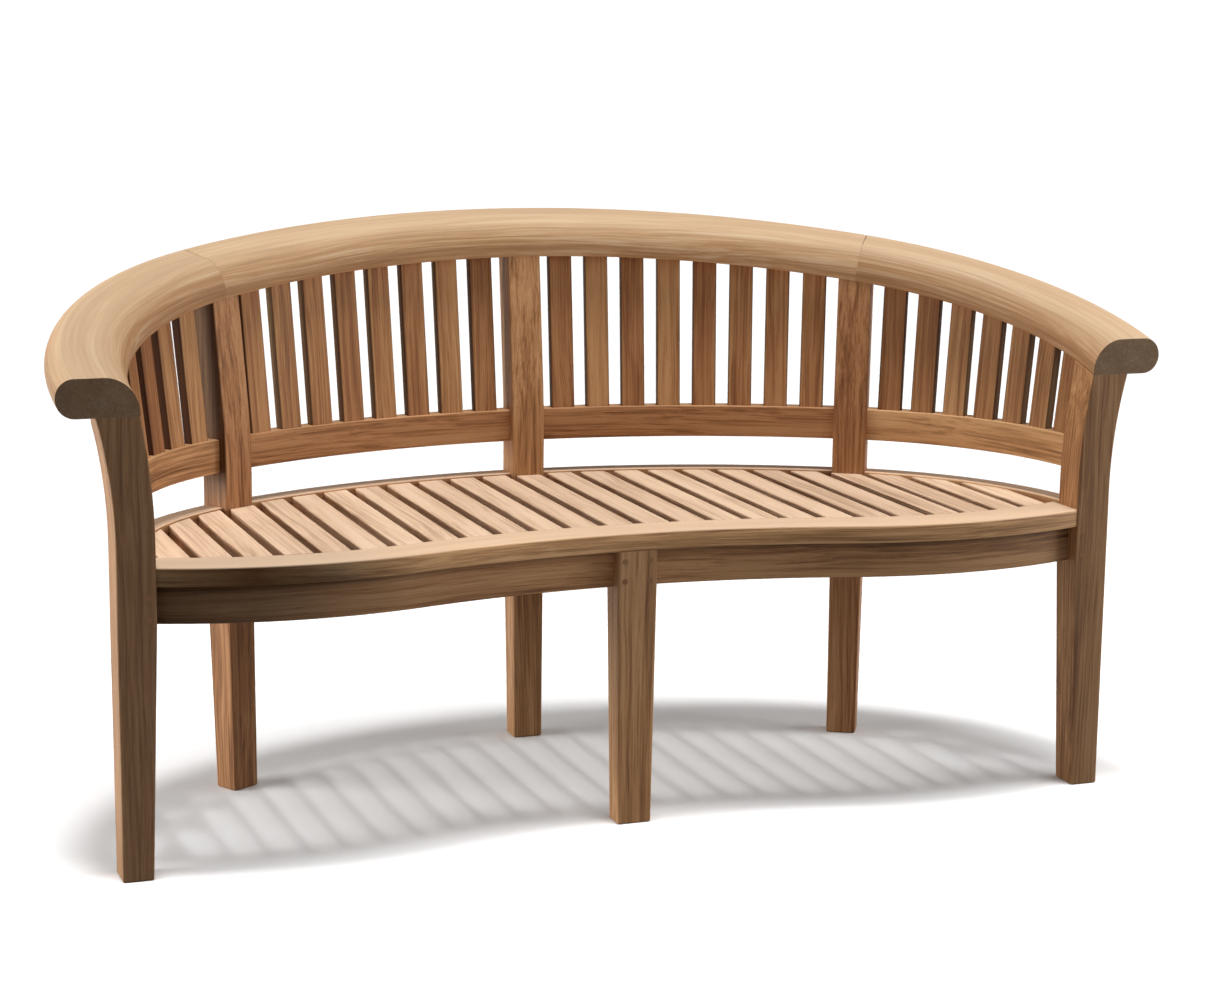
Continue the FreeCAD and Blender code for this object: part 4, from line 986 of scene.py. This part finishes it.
class BENCH_OT_crest_rail(bpy.types.Operator):
    """Sweep the three lengths of the crest rail in their sloping plane"""

    bl_idname = "bench.crest_rail"
    bl_label = "Crest rail"

    def execute(self, context):
        s = context.scene.bench_sizes
        place = bench_layout(s)
        width = s.crest_width - s.sanding
        thickness = s.crest_thickness - s.sanding
        nose = thickness / 2
        rounds = (nose, s.arris, s.crest_inner_round, nose)
        offset = (0.0, place.crest_y, s.crest_height)
        beyond = place.crest_end_angle + CREST_SPARE
        arm_x, arm_y = place.crest_arm_x, place.crest_arm_y
        joint = place.joint_angle
        paths = {
            "centre": arc((0.0, -place.crest_radius), place.crest_radius, joint, -joint, CREST_STEPS),
            "right": arc((arm_x, arm_y), place.crest_arm_radius, beyond, joint, CREST_ARM_STEPS),
            "left": arc((-arm_x, arm_y), place.crest_arm_radius, -joint, -beyond, CREST_ARM_STEPS)}
        left_end = -s.overall_width / 2
        for side, path in paths.items():
            rail = swept("crest_" + side, path, teak("crest"), 0.0, width, 0.0, thickness, rounds,
                         CREST_TONES[side], s.crest_tilt, offset, CREST_ROUND_STEPS)
            if side != "centre":
                sawn(rail, (0.0, place.arm_front_y, 0.0), (0.0, -1.0, 0.0), s.arris)
            # greying towards the left end, partly painted shade
            greyed_along(rail, 0, [(left_end + run, amount) for run, amount in CREST_GREY_AND_SHADE])
            seated(rail, "teak_crest", "crest_rail_" + side)
        return {"FINISHED"}


class BENCH_OT_lower_rails(bpy.types.Operator):
    """Sweep the lower back rails, rear boards and rear aprons between the posts"""

    bl_idname = "bench.lower_rails"
    bl_label = "Rails and boards of the back"

    def execute(self, context):
        s = context.scene.bench_sizes
        place = bench_layout(s)
        timbers = (
            ("lower_rail_", "teak_frame", teak("frame"), s.lower_rail_setback, s.lower_rail_thickness,
             place.rail_under, s.lower_rail_height),
            ("rear_board_", "teak_seat", teak("board"), s.rear_board_setback, s.rear_board_width,
             place.seat_under, s.board_thickness + s.rear_board_proud),
            ("rear_apron_", "teak_frame", teak("frame"), s.rear_apron_setback, s.rear_apron_thickness,
             place.apron_under, s.apron_height))
        for prefix, slot, material, setback, thickness, base, height in timbers:
            for bay in BAYS:
                path = bay_arc(s, place, bay, setback + thickness / 2)
                rail = swept(prefix + "timber_" + bay, path, material, setback, thickness, base, height,
                             (s.arris,) * 4, BAY_TONES[bay])
                seated(rail, slot, prefix + bay)
        return {"FINISHED"}


class BENCH_OT_back_slats(bpy.types.Operator):
    """Stand the raked slats of the back in their four bays"""

    bl_idname = "bench.back_slats"
    bl_label = "Back slats"

    def execute(self, context):
        s = context.scene.bench_sizes
        place = bench_layout(s)
        middle = s.slat_setback + s.slat_thickness / 2
        low = place.rail_top - s.bend_height - s.slat_housing
        for seed, bay in enumerate(BAYS):
            side, centre, radius = bay_plan(s, place, bay)
            first, last = bay_turns(s, place, bay, middle)
            count = s.arm_bay_slats if bay.endswith("arm") else s.back_bay_slats
            slat_turn = 2 * math.asin(s.slat_width / 2 / (radius + middle))
            gap = (last - first - count * slat_turn) / (count + 1)
            points, turns, reaches = [], [], []
            for index in range(count):
                turn = side * (first + (index + 1) * gap + (index + 0.5) * slat_turn)
                spot = (centre[0] + radius * math.sin(turn), centre[1] + radius * math.cos(turn),
                        s.bend_height)
                lean = Euler((-s.back_rake, 0.0, -turn))
                stand = Matrix.Translation(spot) @ lean.to_matrix().to_4x4()
                foot = stand @ Vector((0.0, middle, low))
                rise = stand.to_3x3() @ Vector((0.0, 0.0, 1.0))
                head = crest_underside(s, place, foot.y) + s.slat_housing
                points.append(foot)
                turns.append(Vector(lean))
                reaches.append((head - foot.z) / (rise.z - rise.y * place.fall))
            values = {"Width": s.slat_width, "Thickness": s.slat_thickness, "Arris": s.arris,
                      "Grain Length": sum(reaches) / count, "Seed": SLAT_SEED + seed,
                      "Material": teak("slat")}
            extra = {"turn": ("FLOAT_VECTOR", turns), "reach": ("FLOAT", reaches)}
            slats = grown("slats_" + bay, points, [], "slat_fan", values, extra)
            across = [item.vector[1] for item in slats.data.attributes["grain"].data]
            greyed_by(slats, [SLATS_GREYED[bay]] * len(across))
            # painted shade on the slats' thickness sides
            greyed_by(slats, [SLAT_SIDES_SHADE[bay] * round_to_side(spot, s.slat_width / 2, s.arris)
                              for spot in across])
            seated(slats, "teak_slat", "back_slats_" + bay)
        return {"FINISHED"}


class BENCH_OT_posts(bpy.types.Operator):
    """Shape the bent back posts, the flared arm posts and the tapered front leg"""

    bl_idname = "bench.posts"
    bl_label = "Posts and leg"

    def bend(self, s, place, height):
        """Setback of a back post's inner face at a height."""
        if height <= place.seat_under:
            return -s.post_foot_lead * (1 - height / place.seat_under)
        if height <= place.bend_low:
            return 0.0
        if height <= place.bend_high:
            return s.bend_radius - math.sqrt(s.bend_radius ** 2 - (height - place.bend_low) ** 2)
        return (height - s.bend_height) * place.lean

    def back_post(self, s, place, name, turn):
        """Skin one back post from the floor to the crest rail."""
        spot = (s.back_radius * math.sin(turn), place.back_centre_y + s.back_radius * math.cos(turn), 0.0)
        stand = Matrix.Translation(spot) @ Matrix.Rotation(-turn, 4, "Z")
        bend = place.bend_high - place.bend_low
        bends = [place.bend_low + bend * step / BEND_STEPS for step in range(BEND_STEPS + 1)]
        rings = []
        shades = []
        for height in [0.0, s.arris, place.seat_under] + bends:
            share = min(height / place.seat_under, 1.0)
            half = (s.post_foot_width + (s.post_width - s.post_foot_width) * share) / 2
            depth = s.post_foot_depth + (s.post_depth - s.post_foot_depth) * share
            inner = self.bend(s, place, height)
            ease = s.arris * FOOT_EASE if height == 0.0 else 0.0
            ring = corner_ring((-half + ease, inner + ease), (half - ease, inner + depth - ease), s.arris)
            rings.append([stand @ Vector((x, y, height)) for x, y in ring])
            # painted shade on the post's left cheek, above the seat
            shade = CHEEKS_SHADE[name] if height > place.seat_under else 0.0
            shades += [shade * round_to_side(x, half, s.arris) if x < 0 else 0.0 for x, y in ring]
        rise = stand.to_3x3() @ Vector((0.0, place.lean, 1.0))
        head = []
        for point in rings[-1]:
            reach = (crest_underside(s, place, point.y) + s.arris - point.z) / (rise.z - rise.y * place.fall)
            head.append(point + rise * reach)
        rings.append(head)
        post = stacked("back_post_timber_" + name, rings, BACK_POST_TONES[name])
        greyed_by(post, shades + shades[-len(head):])
        seated(post, "teak_frame", "back_post_" + name)

    def arm_post(self, s, place, name, side):
        """Skin one flared arm post from the floor to the crest rail's end."""
        flare = s.arm_flare + s.arm_post_top_width - s.arm_post_width
        rise = place.arm_top - s.arm_flare_start

        def swing(out, height):
            radius = (rise ** 2 + out ** 2) / (2 * out)
            up = min(max(height - s.arm_flare_start, 0.0), rise)
            return radius - math.sqrt(radius ** 2 - up ** 2)

        steps = [s.arm_flare_start + rise * step / FLARE_STEPS for step in range(FLARE_STEPS)]
        rings = []
        for height in [0.0, s.arris, place.apron_under] + steps + [None]:
            level = place.arm_top if height is None else height
            share = min(level / place.apron_under, 1.0)
            taper = (s.arm_post_width - s.arm_post_foot_width) * (1 - share)
            inner = place.half_seat + taper + swing(s.arm_flare, level)
            outer = place.half_seat + s.arm_post_width + swing(flare, level)
            depth = s.arm_post_foot_depth + (s.arm_post_depth - s.arm_post_foot_depth) * share
            ease = s.arris * FOOT_EASE if height == 0.0 else 0.0
            ring = corner_ring((inner + ease, place.arm_front_y + ease),
                               (outer - ease, place.arm_front_y + depth - ease), s.arris)
            rings.append([Vector((side * x, y, crest_underside(s, place, y) if height is None else level))
                          for x, y in ring])
        post = stacked("arm_post_timber_" + name, rings, ARM_POST_TONES[name])
        # painted shade on the post's front face, less on its sides
        front, cheeks = ARM_POSTS_SHADE[name]
        greyed_along(post, 1, ((place.arm_front_y, front), (place.arm_front_y + s.arris, cheeks)))
        seated(post, "teak_frame", "arm_post_" + name)

    def front_leg(self, s, place):
        """Skin the tapered front leg from the floor to the seat."""
        foot = s.leg_foot_width / 2
        half = s.leg_width / 2
        depth = s.apron_setback + s.apron_thickness
        rings = []
        for height, half_width, back, ease in ((0.0, foot, s.leg_foot_depth, s.arris * FOOT_EASE),
                                               (s.arris, foot, s.leg_foot_depth, 0.0),
                                               (place.apron_under, half, depth, 0.0),
                                               (place.seat_under, half, depth, 0.0)):
            ring = corner_ring((-half_width + ease, place.front_y + ease),
                               (half_width - ease, place.front_y + back - ease), s.arris)
            rings.append([Vector((x, y, height)) for x, y in ring])
        leg = stacked("front_leg_timber", rings, LEG_TONE)
        # painted shade rising to the top of the leg, under the seat
        greyed_along(leg, 2, ((0.0, 0.0), (place.seat_under, LEG_TOP_SHADE)))
        seated(leg, "teak_frame", "front_leg")

    def execute(self, context):
        s = context.scene.bench_sizes
        place = bench_layout(s)
        for name, turn in (("left", -s.post_angle), ("centre", 0.0), ("right", s.post_angle)):
            self.back_post(s, place, name, turn)
        for name, side in SIDES:
            self.arm_post(s, place, name, side)
        self.front_leg(s, place)
        return {"FINISHED"}


class BENCH_OT_seat(bpy.types.Operator):
    """Lay the wavy front board, the seat slats and the front aprons"""

    bl_idname = "bench.seat"
    bl_label = "Seat"

    def wave(self, s, place, extra):
        """Path along the wavy front edge, from the left end to the right, run on past both ends."""
        end = math.asin((s.bulge_run + extra) / s.bulge_radius)
        bulge_x, bulge_y, turn = place.bulge_offset, place.bulge_y, place.wave_angle
        left = arc((-bulge_x, bulge_y), s.bulge_radius, math.pi + end, math.pi - turn, BULGE_STEPS)
        hollow = arc((0.0, place.hollow_y), s.hollow_radius, -turn, turn)
        right = arc((bulge_x, bulge_y), s.bulge_radius, math.pi + turn, math.pi - end, BULGE_STEPS)
        return left + hollow[1:] + right[1:]

    def execute(self, context):
        s = context.scene.bench_sizes
        place = bench_layout(s)
        path = self.wave(s, place, s.front_board_width)
        rounds = (s.arris, s.arris, s.arris, s.board_arris)
        board = swept("front_board_timber", path, teak("board"), -s.front_board_width,
                      s.front_board_width - s.board_sanding, place.seat_under, s.board_thickness, rounds,
                      BOARD_TONE)
        for name, side in SIDES:
            sawn(board, (side * place.half_seat, 0.0, 0.0), (side, 0.0, 0.0), 0.0)
        # painted shade on the front board, deepest on the left half of its face
        greyed_along(board, 0, [(share * place.half_seat, amount) for share, amount in BOARD_SHADE])
        seated(board, "teak_seat", "front_board")
        shade_foot = place.seat_under - s.soil_line
        for name, side in SIDES:
            apron = swept("front_apron_timber_" + name, path, teak("frame"),
                          -s.apron_setback - s.apron_thickness, s.apron_thickness, place.apron_under,
                          s.apron_height, (s.arris,) * 4, APRON_TONES[name])
            sawn(apron, (side * place.half_seat, 0.0, 0.0), (side, 0.0, 0.0), 0.0)
            sawn(apron, (side * s.leg_width / 2, 0.0, 0.0), (-side, 0.0, 0.0), 0.0)
            scored(apron, shade_foot)
            # painted shade along the apron, deepest at the left
            greyed_along(apron, 0, [(share * place.half_seat, amount) for share, amount in APRONS_SHADE])
            # painted shadow along the top of the apron, under the board
            greyed_along(apron, 2, ((shade_foot, 0.0), (place.seat_under - s.arris, APRON_TOP_SHADE)))
            seated(apron, "teak_frame", "front_apron_" + name)
        chance = random.Random(SEAT_SEED)
        for node in sorted(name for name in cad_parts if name.startswith("seat_slat_")):
            slat = eased_copy(node + "_timber", node, teak("seat"), s.arris, 1, chance.random())
            seated(slat, "teak_seat", node)
        return {"FINISHED"}


class BENCH_OT_under_frame(bpy.types.Operator):
    """Oil the bearers and the stretcher under the seat"""

    bl_idname = "bench.under_frame"
    bl_label = "Frame under the seat"

    def execute(self, context):
        for name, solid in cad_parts.items():
            if "bearer" in name or "stretcher" in name:
                solid.data.materials.clear()
                solid.data.materials.append(teak("under"))
        return {"FINISHED"}


class BENCH_OT_pegs(bpy.types.Operator):
    """Drive the pegs that pin the apron tenons"""

    bl_idname = "bench.pegs"
    bl_label = "Tenon pegs"

    def execute(self, context):
        s = context.scene.bench_sizes
        place = bench_layout(s)
        level = place.seat_under - s.apron_height / 2 - s.peg_drop
        leg_x = s.leg_width / 2 - s.peg_inset
        arm_x = place.half_seat + s.peg_inset
        points = []
        for x, y in ((-leg_x, place.front_y), (leg_x, place.front_y),
                     (-arm_x, place.arm_front_y), (arm_x, place.arm_front_y)):
            for step in (-0.5, 0.5):
                points.append((x, y - s.peg_proud, level + step * s.peg_spacing))
        values = {"Radius": s.peg_radius, "Depth": s.peg_depth, "Material": teak("peg")}
        pegs = grown("pegs", points, [], "tenon_pegs", values, crisp=PEG_CRISP)
        seated(pegs, "teak_peg", "tenon_pegs")
        return {"FINISHED"}


class BENCH_OT_stage(bpy.types.Operator):
    """Lay the pale floor and set the lamps and the camera"""

    bl_idname = "bench.stage"
    bl_label = "Stage"

    def two_faced(self, sheet, seen, plain, white, end):
        """Show the camera one surface and the rest of the light another."""
        mixed = sheet.get("ShaderNodeMixShader", {0: seen, 1: plain, 2: white})
        sheet.add(end, {"Surface": mixed})

    def lay_floor(self, stage):
        """Lay a floor that looks white from the camera and keeps the bench's shadow."""
        material, sheet = new_material("pale_floor")
        rays = sheet.add("ShaderNodeLightPath").outputs
        seen = sheet.larger(rays["Is Camera Ray"],
                            sheet.larger(rays["Is Glossy Ray"], rays["Is Transmission Ray"]))
        plain, white = [sheet.get("ShaderNodeBsdfDiffuse", {"Color": opaque((grey, grey, grey))})
                        for grey in (stage.floor_grey, stage.floor_white)]
        self.two_faced(sheet, seen, plain, white, "ShaderNodeOutputMaterial")
        mesh = bpy.data.meshes.new("floor")
        corners = [(x * FLOOR_REACH, y * FLOOR_REACH, 0) for x, y in ((-1, -1), (1, -1), (1, 1), (-1, 1))]
        mesh.from_pydata(corners, [], [(0, 1, 2, 3)])
        mesh.materials.append(material)
        floor = linked("floor", mesh)

    def hang_surround(self, scene, stage):
        """Hang a soft surround that looks white from the camera."""
        scene.world = bpy.data.worlds.new("surround")
        scene.world.use_nodes = True
        sheet = Sheet(scene.world.node_tree)
        sheet.tree.nodes.clear()
        soft, white = [sheet.get("ShaderNodeBackground", {"Color": (1.0, 1.0, 1.0, 1.0), "Strength": power})
                       for power in (stage.world_strength, 1.0)]
        seen = sheet.get("ShaderNodeLightPath", output="Is Camera Ray")
        self.two_faced(sheet, seen, soft, white, "ShaderNodeOutputWorld")

    def overhead_lamp(self, name, power, softness, tilt, lean):
        """Hang a wide soft lamp over the bench, tilted towards the front and leaning to the right."""
        lamp = bpy.data.lights.new(name, "SUN")
        lamp.energy = power
        lamp.angle = softness
        overhead = linked(name, lamp)
        overhead.rotation_euler = Euler((tilt, lean, 0.0))
        overhead.location = (0.0, 0.0, OVERHEAD_HEIGHT)

    def side_lamp(self, name, power, spot):
        """Stand a soft panel beside the bench, aimed at the seat."""
        panel = bpy.data.lights.new(name, "AREA")
        panel.energy = power
        panel.shape = "RECTANGLE"
        panel.size = PANEL_WIDTH
        panel.size_y = PANEL_HEIGHT
        aim = Vector(PANEL_AIM) - Vector(spot)
        turn = aim.to_track_quat("-Z", "Y").to_matrix().to_4x4()
        linked(name, panel).matrix_world = Matrix.Translation(spot) @ turn

    def stand_camera(self, scene, stage):
        """Stand the camera in front of the bench, to its left."""
        yaw, pitch, roll = stage.camera_yaw, stage.camera_pitch, stage.camera_roll
        ahead = Vector((math.sin(yaw) * math.cos(pitch), math.cos(yaw) * math.cos(pitch), -math.sin(pitch)))
        right = Vector((math.cos(yaw), -math.sin(yaw), 0.0))
        up = right.cross(ahead)
        across = right * math.cos(roll) + up * math.sin(roll)
        upward = up * math.cos(roll) - right * math.sin(roll)
        eye = bpy.data.cameras.new("camera")
        eye.sensor_fit = "HORIZONTAL"
        eye.sensor_width = SENSOR_MILLIMETRES
        eye.lens = stage.camera_lens
        scene.camera = linked("camera", eye)
        turn = Matrix((across, upward, -ahead)).transposed()
        scene.camera.matrix_world = Matrix.Translation(Vector(stage.camera_place)) @ turn.to_4x4()

    def execute(self, context):
        scene = context.scene
        stage = scene.bench_stage
        scene.view_settings.view_transform = "Standard"
        self.lay_floor(stage)
        self.hang_surround(scene, stage)
        self.overhead_lamp("overhead", stage.sun_strength, stage.sun_softness, stage.sun_tilt, stage.sun_lean)
        self.overhead_lamp("overhead_front", stage.front_strength, stage.front_softness, stage.front_tilt,
                           stage.front_lean)
        self.side_lamp("side_lamp_left", stage.left_power, LEFT_PANEL)
        self.side_lamp("side_lamp_right", stage.right_power, RIGHT_PANEL)
        self.stand_camera(scene, stage)
        return {"FINISHED"}


STEPS = (BENCH_OT_crest_rail, BENCH_OT_lower_rails, BENCH_OT_back_slats, BENCH_OT_posts, BENCH_OT_seat,
         BENCH_OT_under_frame, BENCH_OT_pegs, BENCH_OT_stage)


class BENCH_PT_panel(bpy.types.Panel):
    """Steps that dress the bench"""

    bl_idname = "BENCH_PT_panel"
    bl_label = "Banana Bench"
    bl_space_type = "VIEW_3D"
    bl_region_type = "UI"
    bl_category = "Bench"

    def draw(self, context):
        for step in STEPS:
            self.layout.operator(step.bl_idname)
        for group in (context.scene.bench_sizes, context.scene.teak_finish, context.scene.bench_stage):
            box = self.layout.box()
            for name in group.__annotations__:
                box.prop(group, name)


CLASSES = (BenchSizes, TeakFinish, StageSettings) + STEPS + (BENCH_PT_panel,)


def register():
    """Register the classes and hang their settings on the scene."""
    for item in CLASSES:
        bpy.utils.register_class(item)
    bpy.types.Scene.bench_sizes = PointerProperty(type=BenchSizes)
    bpy.types.Scene.teak_finish = PointerProperty(type=TeakFinish)
    bpy.types.Scene.bench_stage = PointerProperty(type=StageSettings)


def unregister():
    """Take the settings and the classes away again."""
    del bpy.types.Scene.bench_stage
    del bpy.types.Scene.teak_finish
    del bpy.types.Scene.bench_sizes
    for item in reversed(CLASSES):
        bpy.utils.unregister_class(item)


def main():
    """Dress the bench, step by step."""
    register()
    bpy.ops.bench.crest_rail()
    bpy.ops.bench.lower_rails()
    bpy.ops.bench.back_slats()
    bpy.ops.bench.posts()
    bpy.ops.bench.seat()
    bpy.ops.bench.under_frame()
    bpy.ops.bench.pegs()
    bpy.ops.bench.stage()


if __name__ == "__main__":
    main()
